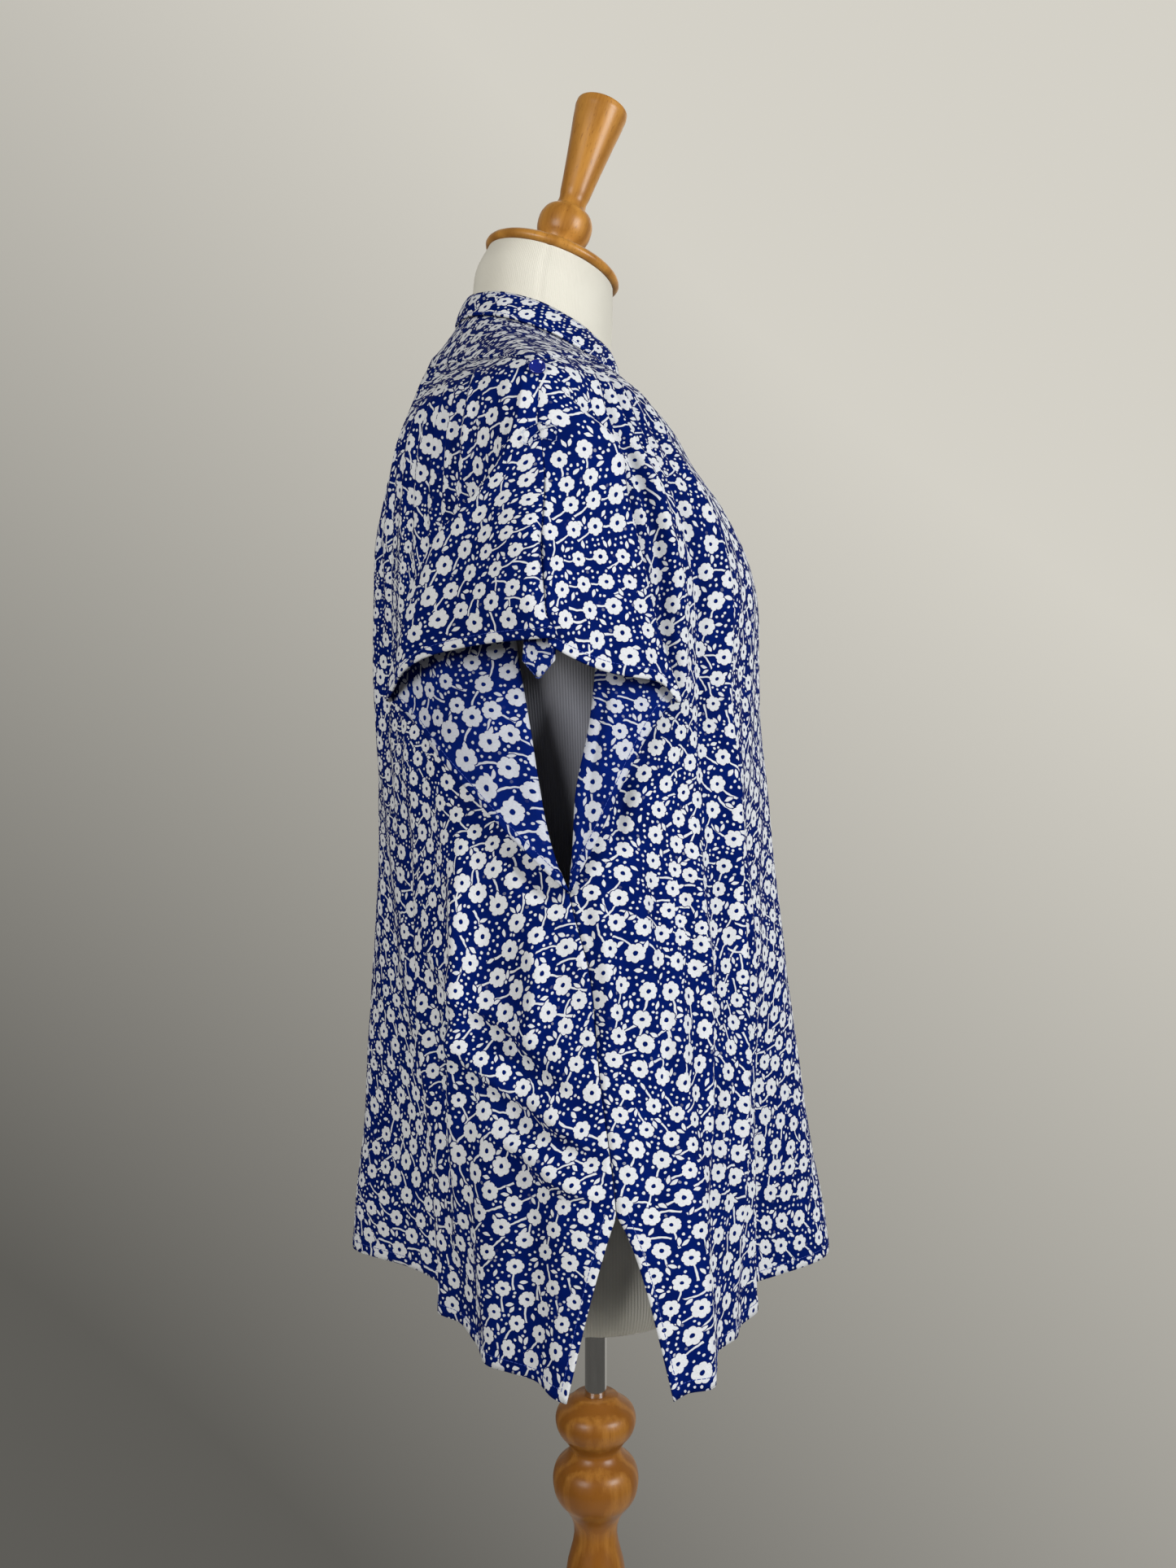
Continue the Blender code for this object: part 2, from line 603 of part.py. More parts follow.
def turned(name, profile, centre, tilt, sides, finish):
    """A turned piece from its profile; tilt leans the axis towards the front."""
    axis = np.array([0.0, -math.sin(tilt), math.cos(tilt)])
    level = np.array([0.0, math.cos(tilt), math.sin(tilt)])
    points, faces = [], []
    for stop in profile:
        middle = np.array(centre) + axis * stop.along
        for k in range(sides):
            angle = 2.0 * math.pi * k / sides
            spoke = np.array([1.0, 0.0, 0.0]) * math.cos(angle) + level * math.sin(angle)
            points.append(middle + spoke * stop.radius)
    for row in range(len(profile) - 1):
        for k in range(sides):
            after = (k + 1) % sides
            faces.append([row * sides + k, row * sides + after,
                          (row + 1) * sides + after, (row + 1) * sides + k])
    faces.append(list(range(sides))[::-1])
    faces.append([(len(profile) - 1) * sides + k for k in range(sides)])
    mesh = mesh_from(name, points, faces)
    mesh.set_sharp_from_angle(angle=math.radians(50))
    return place(name, mesh, finish)


def make_button(name, side, finish):
    """A round button with a raised rim that lies on the overarm seam."""
    seam, _ = overarm_point(side, BUTTON_HEIGHT)
    outward = np.array([side * math.cos(math.radians(20)), 0.0, math.sin(math.radians(20))])
    flat = np.array([0.0, 1.0, 0.0])
    upward = np.cross(outward, flat) * side
    foot = WALL / 2.0 - FIT_GAP
    profile = [Turning(0.0000, 0.86), Turning(0.0006, 1.0), Turning(0.0016, 1.0),
               Turning(0.0022, 0.88), Turning(0.0022, 0.74), Turning(0.0015, 0.56)]
    sides = 16
    points, faces = [], []
    for stop in profile:
        middle = seam + outward * (foot + stop.along)
        for k in range(sides):
            angle = 2.0 * math.pi * k / sides
            spoke = flat * math.cos(angle) + upward * math.sin(angle)
            points.append(middle + spoke * stop.radius * BUTTON_RADIUS)
    for row in range(len(profile) - 1):
        for k in range(sides):
            after = (k + 1) % sides
            faces.append([row * sides + k, row * sides + after,
                          (row + 1) * sides + after, (row + 1) * sides + k])
    faces.append(list(range(sides))[::-1])
    faces.append([(len(profile) - 1) * sides + k for k in range(sides)])
    mesh = mesh_from(name, points, faces)
    place(name, outward_faces(mesh), finish)


def outward_faces(mesh):
    """Turn the faces of a closed mesh outwards."""
    shape = bmesh.new()
    shape.from_mesh(mesh)
    bmesh.ops.recalc_face_normals(shape, faces=shape.faces)
    shape.to_mesh(mesh)
    shape.free()
    return mesh


def make_torso(name, finish):
    """The padded body of the dress form, from its hip edge to the neck."""
    points, faces = [], []
    for ring in FORM_RINGS:
        for k in range(FORM_SIDES):
            angle = 2.0 * math.pi * k / FORM_SIDES
            power = 2.0 / ring.fullness
            x = ring.half_width * signed_power(math.sin(angle), power)
            y = ring.half_depth * signed_power(math.cos(angle), power)
            points.append((x, ring.mid_y + y, ring.height + ring.slope * y))
    for row in range(len(FORM_RINGS) - 1):
        for k in range(FORM_SIDES):
            after = (k + 1) % FORM_SIDES
            faces.append([row * FORM_SIDES + k, (row + 1) * FORM_SIDES + k,
                          (row + 1) * FORM_SIDES + after, row * FORM_SIDES + after])
    faces.append(list(range(FORM_SIDES)))
    top = (len(FORM_RINGS) - 1) * FORM_SIDES
    faces.append([top + k for k in range(FORM_SIDES)][::-1])
    mesh = mesh_from(name, points, faces)
    mesh.set_sharp_from_angle(angle=math.radians(60))
    place(name, outward_faces(mesh), finish)


def make_stand(wood, chrome):
    """The pole, the turned column and the plain round base."""
    upright = (0.0, 0.0, 0.0)
    pole = [Turning(COLUMN_TOP + FIT_GAP, POLE_RADIUS), Turning(FORM_BOTTOM - FIT_GAP, POLE_RADIUS)]
    turned("pole", pole, upright, 0.0, 20, chrome)
    turned("stand_column", COLUMN_PROFILE, upright, 0.0, 18, wood)
    turned("stand_base", BASE_PROFILE, upright, 0.0, 32, wood)


def make_blouse(cloth, button):
    make_panel("back_panel", BACK, cloth)
    make_panel("front_panel", FRONT, cloth)
    make_yoke("yoke", cloth)
    make_collar("collar_stand", cloth)
    for side, word in ((RIGHT, "right"), (LEFT, "left")):
        make_tab("sleeve_tab_" + word, side, cloth)
        make_button("shoulder_button_" + word, side, button)


def main():
    clear_scene()
    cloth = material("printed_cloth", (0.02, 0.05, 0.28), 0.6)
    button = material("button_resin", (0.01, 0.03, 0.30), 0.2)
    linen = material("form_jersey", (0.76, 0.71, 0.62), 0.9)
    wood = material("beech", (0.42, 0.20, 0.07), 0.35)
    chrome = material("chrome", (0.75, 0.75, 0.76), 0.12, 1.0)
    make_torso("form_torso", linen)
    turned("neck_disc", DISC_PROFILE, NECK_TOP, NECK_TILT, 28, wood)
    turned("neck_handle", HANDLE_PROFILE, NECK_TOP, NECK_TILT, 18, wood)
    make_stand(wood, chrome)
    make_blouse(cloth, button)


main()
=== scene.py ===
# Batwing blouse worn by a limbless dress form on a turned wooden stand: the finished look.
# Metres, +Z up. The wearer faces -Y and the wearer's right side is -X.

import math
from collections import namedtuple

import bmesh
import bpy
import numpy as np
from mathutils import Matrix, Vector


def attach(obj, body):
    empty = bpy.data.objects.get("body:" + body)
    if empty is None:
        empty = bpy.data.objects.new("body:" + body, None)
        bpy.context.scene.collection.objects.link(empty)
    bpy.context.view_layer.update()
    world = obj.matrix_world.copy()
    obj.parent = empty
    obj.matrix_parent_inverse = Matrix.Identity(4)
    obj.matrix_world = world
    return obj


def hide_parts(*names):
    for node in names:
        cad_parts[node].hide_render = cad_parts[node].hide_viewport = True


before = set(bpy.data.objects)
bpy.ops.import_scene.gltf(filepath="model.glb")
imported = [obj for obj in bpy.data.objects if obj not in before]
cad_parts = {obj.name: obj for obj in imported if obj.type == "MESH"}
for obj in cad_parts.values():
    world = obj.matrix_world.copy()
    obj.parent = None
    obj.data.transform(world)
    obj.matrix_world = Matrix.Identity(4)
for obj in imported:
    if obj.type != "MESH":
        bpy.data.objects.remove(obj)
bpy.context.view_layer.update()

RIGHT, LEFT = -1, 1
BACK, FRONT = 1, -1

# Cloth and cut
CLOTH_THICKNESS = 0.0013
HEM_SHARE_OF_THICKNESS = 0.5
SEAM_GAP = 0.0005
COLLAR_THICKNESS = 0.0018
TAB_THICKNESS = 0.0016
UNDERARM_HEIGHT = 1.044
SLIT_TOP = 0.857
HEM_CENTRE = 0.772
HEM_SIDE = 0.755
HEM_SPREAD_BACK = 13.0
HEM_SPREAD_FRONT = 14.5
RIDGE_TURN = 10.8
FOLD_GAP_TOP = 0.0036
FOLD_GAP = 0.0066
FOLD_TURN = 2.2
INNER_LEAF_RISE = 0.010
OUTER_LEAF_POWER = 1.15
BACK_HEM_BOW = 1.8
FRONT_HEM_BOW = 0.6
FRONT_HEM_DROP = 0.4
NECK_SLIT_FALL = 0.30
NECK_SLIT_GAP = 0.0032
NECK_SLIT_FOOT_GAP = 0.0008
CENTRE_DROP = 0.004
SAG_POWER = 1.5
PULL_SHARE = 0.25

# Neckline, collar and yoke
RING_HALF_WIDTH = 0.0755
RING_HALF_DEPTH = 0.0600
RING_Y = 0.0420
RING_HEIGHT = 1.4210
RING_SLOPE = 0.37
RING_ARCH = 0.5
COLLAR_TOP_HALF_WIDTH = 0.0602
COLLAR_TOP_HALF_DEPTH = 0.0555
COLLAR_TOP_Y = 0.0410
COLLAR_TOP_HEIGHT = 1.4435
COLLAR_TOP_SLOPE = 0.383
COLLAR_TOP_ARCH = 1.7
COLLAR_LIFT = 0.0003
COLLAR_OPENING = 3.0
COLLAR_BULGE = 0.0011
COLLAR_UNEVENNESS = 0.0004
YOKE_FRONT_TURN = 34.0
NECK_RATE = 1.22
NECK_BLEND_TURN = 14.0
YOKE_FRONT_HEIGHT = 1.4050
BACK_SEAM_TOP = 1.4200
FRONT_NECK_TOP = 1.3970
YOKE_LIFT = 0.0006
YOKE_RISE = 0.0016
YOKE_DIP = 0.0012
YOKE_STEPS = 12
Lap = namedtuple("Lap", "share lift")
YOKE_LAPS = [Lap(0.008, 0.0014), Lap(0.017, 0.0011)]

# Roll tabs, buttons and dress form
TAB_HALF_WIDTH = 0.0098
TAB_TOP = 1.310
TAB_TIP = 1.172
TAB_SWING = 0.0105
TAB_POINT = 0.010
TAB_CLEARANCE = 0.0040
TAB_ROWS = 44
TAB_COLUMNS = 12
TAB_STITCH_INSET = 0.0016
BUTTON_RADIUS = 0.0051
BUTTON_HEIGHT = 1.3545
BUTTON_LEAN = math.radians(20)
BUTTON_SEAT = 0.0002
FORM_SEAM_DEPTH = 0.0007
FORM_SEAM_WIDTH = 0.02
NECK_TILT = math.radians(17.5)
NECK_TOP = (0.0, 0.0330, 1.4882)

# Creases, gathers and small waves of the cloth
CREASE_STRENGTH = 1.7
RIPPLE_HEIGHT = 0.0007
GATHER_ZONES = {BACK: (0.16, 0.26), FRONT: (0.45, 0.52)}
GATHERS = 10.5
TIGHT_GATHER = 0.0016
LOOSE_GATHER = 0.0029
HEM_FLUTTER = 0.0012
OUTER_LEAF_WAVE = 0.0022
INNER_LEAF_WAVE = 0.0016

# How finely the panels are made, and the stations of a hanging sleeve from body to overarm seam
BODY_STEPS = 72
UPPER_STEPS = 84
LOWER_STEPS = 84
SLEEVE_STEPS = 46
INNER_FOLD_END = 2.0
INNER_LEAF_END = 7.0
OUTER_FOLD_END = 9.0
LAST_STATION = 15.0
SLEEVE_HEM_ROWS = 3.4
BODY_HEM_ROWS = 2.4
FLATTEN_STEPS = 5

# The back sleeve's lap over the overarm seam, and the sewn box that holds the roll tab there
LAP_START = 0.42
LAP_GROWTH = 0.30
LAP_TURN = 0.65
LAP_REACH = 1.6
SEAM_REST_REACH = 0.3
SEAM_CLOSING_REACH = 0.4
LAP_WIDTH = 0.0085
LAP_TUCK = 0.0040
LAP_LIFT = 0.0090
LAP_REST = 0.0016
LAP_TIP = 0.0110
SEAM_CLOSING = 0.0008
BOX_HALF_WIDTH = 0.0098
BOX_HALF_HEIGHT = 0.0044
BOX_HEIGHT = 1.3165
BOX_LIFT = 0.0012
BOX_STEPS = 14

# Where each piece starts on the flat printed cloth
LAYOUT_ACROSS = {BACK: 0.61, FRONT: 0.0}
YOKE_LAYOUT = 0.33
COLLAR_LAYOUT = (0.71, 0.4)
TAB_LAYOUT = (0.13, 0.77)

# One row for each level of the worn blouse, without its centre folds
Section = namedtuple("Section", "height mid_y back_y front_y side_x back_full front_full "
                                "back_ridge front_ridge")
SECTIONS = [Section(*row) for row in (
    (0.740, -0.012, 0.103, -0.102, 0.2180, 2.20, 2.60, 0.076, 0.070),
    (0.772, -0.012, 0.104, -0.102, 0.2160, 2.20, 2.60, 0.074, 0.068),
    (0.857, -0.011, 0.117, -0.106, 0.2040, 2.15, 2.45, 0.053, 0.050),
    (0.938, -0.001, 0.132, -0.113, 0.1840, 2.10, 2.30, 0.034, 0.032),
    (0.994, 0.0045, 0.141, -0.117, 0.1740, 2.05, 2.20, 0.022, 0.021),
    (1.044, 0.017, 0.146, -0.117, 0.1670, 2.05, 2.15, 0.014, 0.015),
    (1.088, 0.019, 0.149, -0.117, 0.1640, 2.10, 2.10, 0.009, 0.010),
    (1.148, 0.022, 0.152, -0.117, 0.1645, 2.10, 2.10, 0.003, 0.004),
    (1.194, 0.025, 0.1535, -0.1175, 0.1665, 2.10, 2.10, 0.0, 0.0),
    (1.244, 0.029, 0.153, -0.116, 0.1725, 2.10, 2.10, 0.0, 0.0),
    (1.298, 0.0325, 0.150, -0.096, 0.1885, 2.00, 1.90, 0.0, 0.0),
    (1.328, 0.0350, 0.146, -0.076, 0.1950, 1.90, 1.75, 0.0, 0.0),
    (1.360, 0.0360, 0.1395, -0.0595, 0.1890, 1.65, 1.60, 0.0, 0.0),
    (1.380, 0.0390, 0.1345, -0.040, 0.1550, 1.50, 1.50, 0.0, 0.0),
    (1.400, 0.0420, 0.1275, -0.0205, 0.1180, 1.50, 1.50, 0.0, 0.0),
    (1.425, 0.043, 0.116, -0.010, 0.0755, 1.80, 1.80, 0.0, 0.0),
    (1.450, 0.043, 0.104, -0.004, 0.0700, 1.80, 1.80, 0.0, 0.0),
)]

# Long folds: turn is the angle from the centre line, 90 at the side seam; rise is outwards
Fold = namedtuple("Fold", "panel top_turn top_height foot_turn foot_height half_turn "
                          "top_rise foot_rise")
FOLDS = [Fold(*row) for row in (
    (BACK, 38.0, 1.16, 29.0, 0.74, 4.5, 0.003, 0.011),
    (BACK, 31.0, 1.12, 21.5, 0.74, 4.5, -0.003, -0.011),
    (BACK, 62.0, 1.30, 52.0, 0.74, 6.0, 0.003, 0.006),
    (BACK, 71.0, 1.02, 66.0, 0.74, 5.0, -0.002, -0.006),
    (FRONT, 37.0, 1.20, 24.0, 0.74, 4.5, 0.003, 0.009),
    (FRONT, 30.0, 1.16, 17.0, 0.74, 4.5, -0.003, -0.009),
    (FRONT, 74.0, 1.10, 62.0, 0.74, 6.0, 0.004, 0.007),
    (FRONT, 64.0, 1.10, 47.0, 0.74, 6.0, -0.003, -0.006),
    (FRONT, 83.0, 1.05, 79.0, 0.86, 4.0, -0.004, -0.002),
)]

# Softer creases of one half panel. Each runs from its top to its foot, bowed sideways by
# bend degrees; half is its half width in degrees, and a negative rise is a trough.
Crease = namedtuple("Crease", "panel side top_turn top_height foot_turn foot_height bend half rise")
CREASES = [Crease(*row) for row in (
    (BACK, RIGHT, 50.5, 0.962, 86.0, 0.892, -3.0, 5.2, 0.0042),
    (BACK, RIGHT, 56.0, 0.978, 86.0, 0.914, -3.0, 4.6, -0.0034),
    (BACK, RIGHT, 60.0, 0.905, 89.0, 0.863, -2.0, 5.0, 0.0040),
    (BACK, RIGHT, 66.0, 0.927, 88.0, 0.879, -2.0, 4.4, -0.0032),
    (BACK, RIGHT, 40.0, 1.020, 78.0, 0.945, -6.0, 6.0, 0.0022),
    (BACK, RIGHT, 64.0, 1.110, 36.0, 0.790, 3.0, 3.4, 0.0056),
    (BACK, RIGHT, 37.0, 1.130, 18.0, 0.840, 2.0, 4.5, -0.0050),
    (BACK, RIGHT, 24.0, 0.860, 24.0, 0.710, 0.0, 13.0, 0.0018),
    (BACK, LEFT, 24.0, 0.860, 24.0, 0.710, 0.0, 13.0, 0.0014),
    (BACK, RIGHT, 74.0, 1.072, 88.0, 1.030, -1.0, 3.0, -0.0040),
    (BACK, RIGHT, 78.0, 1.030, 69.0, 0.930, 2.0, 3.0, 0.0034),
    (BACK, LEFT, 46.0, 0.975, 84.0, 0.880, -4.0, 6.0, 0.0030),
    (BACK, LEFT, 58.0, 0.940, 87.0, 0.866, -3.0, 5.0, -0.0026),
    (BACK, LEFT, 68.0, 1.100, 42.0, 0.800, 2.0, 3.6, 0.0050),
    (BACK, RIGHT, 14.0, 1.360, 10.0, 1.060, 0.0, 5.0, 0.0036),
    (BACK, LEFT, 17.0, 1.360, 12.0, 1.080, 0.0, 5.0, 0.0034),
    (BACK, RIGHT, 26.0, 1.370, 22.0, 1.130, 1.0, 3.6, -0.0030),
    (BACK, LEFT, 29.0, 1.370, 24.0, 1.150, 1.0, 3.6, -0.0030),
    (FRONT, RIGHT, 41.0, 1.370, 44.0, 1.000, 0.0, 2.6, 0.0044),
    (FRONT, RIGHT, 46.0, 1.372, 50.0, 1.060, 2.0, 2.4, -0.0034),
    (FRONT, RIGHT, 56.0, 1.366, 58.0, 1.120, 2.0, 2.8, 0.0038),
    (FRONT, RIGHT, 44.0, 1.180, 39.0, 0.780, 0.0, 2.2, 0.0058),
    (FRONT, RIGHT, 56.0, 1.110, 56.0, 0.850, 0.0, 2.8, 0.0044),
    (FRONT, RIGHT, 67.0, 1.090, 73.0, 0.880, 0.0, 3.0, -0.0048),
    (FRONT, RIGHT, 74.0, 1.118, 79.0, 1.060, 0.0, 3.0, -0.0040),
    (FRONT, RIGHT, 22.0, 1.000, 17.0, 0.780, 0.0, 4.5, -0.0050),
    (FRONT, RIGHT, 83.0, 1.060, 88.0, 0.935, 0.0, 2.4, 0.0042),
    (FRONT, LEFT, 43.0, 1.370, 43.0, 1.010, 1.0, 2.8, 0.0042),
    (FRONT, LEFT, 52.0, 1.370, 53.0, 1.120, 2.0, 2.8, -0.0032),
    (FRONT, LEFT, 46.0, 1.160, 41.0, 0.790, 0.0, 2.4, 0.0052),
    (FRONT, LEFT, 69.0, 1.100, 78.0, 0.880, 0.0, 2.8, 0.0044),
)]

# Sleeve drape, by fall from the yoke seam (0) to the sleeve hem (1)
Drape = namedtuple("Drape", "fall inner_turn inner_height outer_turn outer_height outer_lift "
                            "seam_height seam_lift")
BACK_DRAPE = [Drape(*row) for row in (
    (0.00, 74.0, 1.3780, 82.0, 1.3710, 0.000, 1.3630, 0.000),
    (0.15, 76.0, 1.3320, 79.0, 1.3380, 0.003, 1.3390, 0.001),
    (0.40, 76.5, 1.2450, 66.0, 1.2800, 0.006, 1.2960, 0.010),
    (0.70, 80.2, 1.1460, 49.0, 1.2180, 0.005, 1.2450, 0.031),
    (0.87, 83.6, 1.0860, 42.0, 1.1850, 0.004, 1.2160, 0.038),
    (1.00, 90.0, 1.0440, 39.0, 1.1640, 0.003, 1.1940, 0.041),
)]
FRONT_DRAPE = [Drape(*row) for row in (
    (0.00, 74.0, 1.3760, 82.0, 1.3700, 0.000, 1.3630, 0.000),
    (0.15, 76.0, 1.3320, 74.0, 1.3360, 0.004, 1.3390, 0.001),
    (0.22, 76.1, 1.3076, 71.0, 1.3190, 0.007, 1.3270, 0.004),
    (0.40, 77.5, 1.2450, 73.0, 1.2820, 0.010, 1.2960, 0.010),
    (0.70, 81.3, 1.1500, 71.5, 1.2200, 0.012, 1.2440, 0.031),
    (0.85, 86.0, 1.1000, 68.5, 1.1890, 0.013, 1.2170, 0.037),
    (1.00, 90.0, 1.0440, 65.0, 1.1600, 0.012, 1.1910, 0.041),
)]
DRAPES = {BACK: BACK_DRAPE, FRONT: FRONT_DRAPE}

# Dress form levels; slope is the rise of a level towards the back
FormRing = namedtuple("FormRing", "height mid_y half_width half_depth slope fullness")
FORM_RINGS = [FormRing(*row) for row in (
    (0.7680, 0.004, 0.1560, 0.0890, 0.000, 2.2),
    (0.7740, 0.003, 0.1610, 0.0940, 0.000, 2.2),
    (0.8200, 0.003, 0.1640, 0.0970, 0.000, 2.2),
    (0.8800, 0.005, 0.1600, 0.1010, 0.000, 2.2),
    (0.9600, 0.010, 0.1430, 0.0990, 0.000, 2.2),
    (1.0400, 0.015, 0.1240, 0.0930, 0.000, 2.2),
    (1.1000, 0.018, 0.1260, 0.0970, 0.000, 2.2),
    (1.1700, 0.020, 0.1430, 0.1120, 0.000, 2.15),
    (1.2400, 0.020, 0.1590, 0.1250, 0.000, 2.1),
    (1.3000, 0.030, 0.1715, 0.1110, 0.000, 1.95),
    (1.3450, 0.040, 0.1790, 0.0945, 0.000, 1.75),
    (1.3620, 0.0425, 0.1720, 0.0875, 0.050, 1.58),
    (1.3800, 0.0432, 0.1482, 0.0790, 0.120, 1.43),
    (1.4000, 0.0430, 0.1102, 0.0680, 0.250, 1.40),
    (1.4140, 0.0411, 0.0752, 0.0572, 0.370, 1.70),
    (1.4210, 0.0411, 0.0672, 0.0545, 0.385, 2.0),
    (1.4450, 0.0398, 0.0556, 0.0512, 0.390, 2.0),
    (1.4700, 0.0375, 0.0520, 0.0500, 0.340, 2.0),
    (1.4878, 0.0333, 0.0488, 0.0458, 0.3153, 2.0),
)]

# Turned profiles: distance along the axis and radius
Turning = namedtuple("Turning", "along radius")
DISC_PROFILE = [Turning(*stop) for stop in (
    (0.0000, 0.0490), (0.0015, 0.0506), (0.0050, 0.0507), (0.0075, 0.0480), (0.0105, 0.0395),
    (0.0140, 0.0290), (0.0170, 0.0220), (0.0185, 0.0200),
)]
HANDLE_PROFILE = [Turning(*stop) for stop in (
    (0.0188, 0.0160), (0.0215, 0.0168), (0.0260, 0.0190), (0.0330, 0.0202), (0.0400, 0.0192),
    (0.0450, 0.0160), (0.0480, 0.0118), (0.0510, 0.0106), (0.0600, 0.0114), (0.0800, 0.0138),
    (0.1000, 0.0165), (0.1180, 0.0190), (0.1235, 0.0194), (0.1270, 0.0180), (0.1290, 0.0140),
)]
COLUMN_PROFILE = [Turning(*stop) for stop in (
    (0.0400, 0.0400), (0.0480, 0.0395), (0.0560, 0.0330), (0.0640, 0.0270), (0.0900, 0.0235),
    (0.1600, 0.0232), (0.2600, 0.0262), (0.3600, 0.0285), (0.4400, 0.0270), (0.5320, 0.0215),
    (0.5720, 0.0184), (0.5770, 0.0215), (0.5850, 0.0280), (0.5950, 0.0312), (0.6030, 0.0312),
    (0.6110, 0.0280), (0.6170, 0.0215), (0.6220, 0.0192), (0.6270, 0.0215), (0.6330, 0.0265),
    (0.6400, 0.0293), (0.6460, 0.0293), (0.6520, 0.0262), (0.6565, 0.0200), (0.6600, 0.0160),
)]
BASE_PROFILE = [Turning(*stop) for stop in (
    (0.0000, 0.1620), (0.0040, 0.1650), (0.0200, 0.1650), (0.0270, 0.1610), (0.0300, 0.1540),
    (0.0330, 0.0620), (0.0397, 0.0560),
)]
POLE_PROFILE = [Turning(0.6603, 0.008), Turning(0.7677, 0.008)]

# The button's outline: rise above its seat and share of its radius
Outline = namedtuple("Outline", "rise share")
BUTTON_PROFILE = [Outline(*stop) for stop in (
    (0.0000, 0.60), (0.0001, 0.86), (0.0005, 0.97), (0.0010, 1.0), (0.0016, 0.99), (0.0021, 0.94),
    (0.0023, 0.86), (0.0022, 0.78), (0.0017, 0.68), (0.0014, 0.56), (0.0013, 0.30), (0.0013, 0.04),
)]

# The print, in millimetres on the flat cloth
FLOWER_PITCH = 32.4
FLOWER_JITTER = 0.19
FLOWER_LEAST_SIZE = 0.92
FLOWER_SIZE_RANGE = 0.20
FLOWER_RADIUS = 4.22
PETAL_DEPTH = 1.2
PETAL_TURNS = 3.5
PETAL_ROUNDNESS = 0.5
FLOWER_CENTRE = 1.3
STEM_HALF_WIDTH = 0.46
STEM_WIDENING = 0.025
STEM_BEND = 0.045
STEM_END = 14.5
STEM_LENGTH_RANGE = 2.5
STEM_OVERLAP = 0.6
STEM_CLEARANCE = 0.6
LEAF_HALF_LENGTH = 2.6
LEAF_HALF_WIDTH = 1.15
LEAF_JITTER = 0.12
LEAF_OUT_OF_REACH = 9.0
Leaf = namedtuple("Leaf", "spot lean")
LEAVES = [Leaf((0.0, 1.75, 0.0), 0.45), Leaf((0.7, -1.75, 0.0), -0.35)]
SPRIG_SHIFTS = ((0.5, 0.5, 0.0), (1.0, 0.5, 0.0), (0.5, 1.0, 0.0), (1.0, 1.0, 0.0))
DOT_PITCH = 4.0
DOT_RADIUS = 0.82
DOT_JITTER = 0.55
DOT_CLEARANCE = 1.5
LAYOUT_TILT = 0.42
LAYOUT_DRIFT = 14.0
LAYOUT_DRIFT_SCALE = 0.011
HAND_DRAWN_REACH = 0.8
HAND_DRAWN_SCALE = 0.30
INK_EDGE = 0.12

# Finishes: reliefs in metres, heights of the jersey's painted shade and painted light, and colours in
# linear light
THREAD_PITCH = 0.00045
PEBBLE_RELIEF = 0.00012
CRUSH_RELIEF = 0.0016
RIB_RELIEF = 0.0003
GRAIN_RELIEF = 0.0003
RIBS_ROUND_THE_FORM = 520.0
# Heights of the jersey's painted shade on the body and of its painted light at the foot
JERSEY_PAINTED_SHADE_BELOW = 1.15
JERSEY_PAINTED_LIGHT_BELOW = 0.80
RIGHT_SIDE_BLUE, RIGHT_SIDE_WHITE = (0.0002, 0.0076, 0.098, 1.0), (0.60, 0.612, 0.63, 1.0)
WRONG_SIDE_BLUE, WRONG_SIDE_WHITE = (0.0010, 0.010, 0.120, 1.0), (0.54, 0.56, 0.61, 1.0)
THREAD_BLUE, THREAD_PALE_BLUE = (0.012, 0.045, 0.30, 1.0), (0.36, 0.41, 0.56, 1.0)
BUTTON_BLUES = ((0.003, 0.008, 0.13, 1.0), (0.004, 0.014, 0.20, 1.0))
JERSEY_CREAM, JERSEY_SOILED = (0.66, 0.635, 0.55, 1.0), (0.57, 0.545, 0.465, 1.0)
# Painted shade for the form's body, a dark cool grey, and painted light for its foot, paler than the
# cream
JERSEY_PAINTED_SHADE, JERSEY_PAINTED_LIGHT_AT_FOOT = (0.25, 0.255, 0.295, 1.0), (0.74, 0.72, 0.64, 1.0)
WOOD_DARK, WOOD_PALE = (0.19, 0.068, 0.008, 1.0), (0.50, 0.235, 0.045, 1.0)
WOOD_PORE = (0.16, 0.055, 0.010, 1.0)
CHROME_GREYS = ((0.70, 0.70, 0.72, 1.0), (0.82, 0.82, 0.83, 1.0))
FLOOR_GREYS = ((0.60, 0.59, 0.56, 1.0), (0.66, 0.65, 0.62, 1.0))
WRONG_SIDE_COVER = 0.90
SURROUND_TINT = (1.0, 0.965, 0.87, 1.0)
STITCH_SIZES = {"Stitch Pitch": 0.0030, "Stitch Length": 0.0022, "Thread Radius": 0.00022}

# Studio: lamps aim at the middle of the blouse; the camera's focal length is in photo pixels
Lamp = namedtuple("Lamp", "name where size power colour")
LAMPS = [
    Lamp("window light", (-1.9, 1.25, 1.62), 1.0, 39.0, (1.0, 0.99, 0.97)),
    Lamp("room light", (-1.35, -1.75, 1.60), 0.9, 57.0, (0.98, 0.99, 1.0)),
    Lamp("back light", (1.5, -0.6, 2.6), 1.6, 4.0, (1.0, 0.99, 0.97)),
]
LAMP_AIM = (0.0, 0.0, 1.1)
CAMERA_PLACE = (-0.960, 0.0057, 1.11)
FOCAL_PIXELS = 1600.0
PHOTO_HEIGHT = 1927.0
SENSOR_MM = 36.0
AMBIENT = 0.09
FLOOR_RADIUS = 0.86
FLOOR_DROP = 0.0003
FLOOR_SIDES = 96


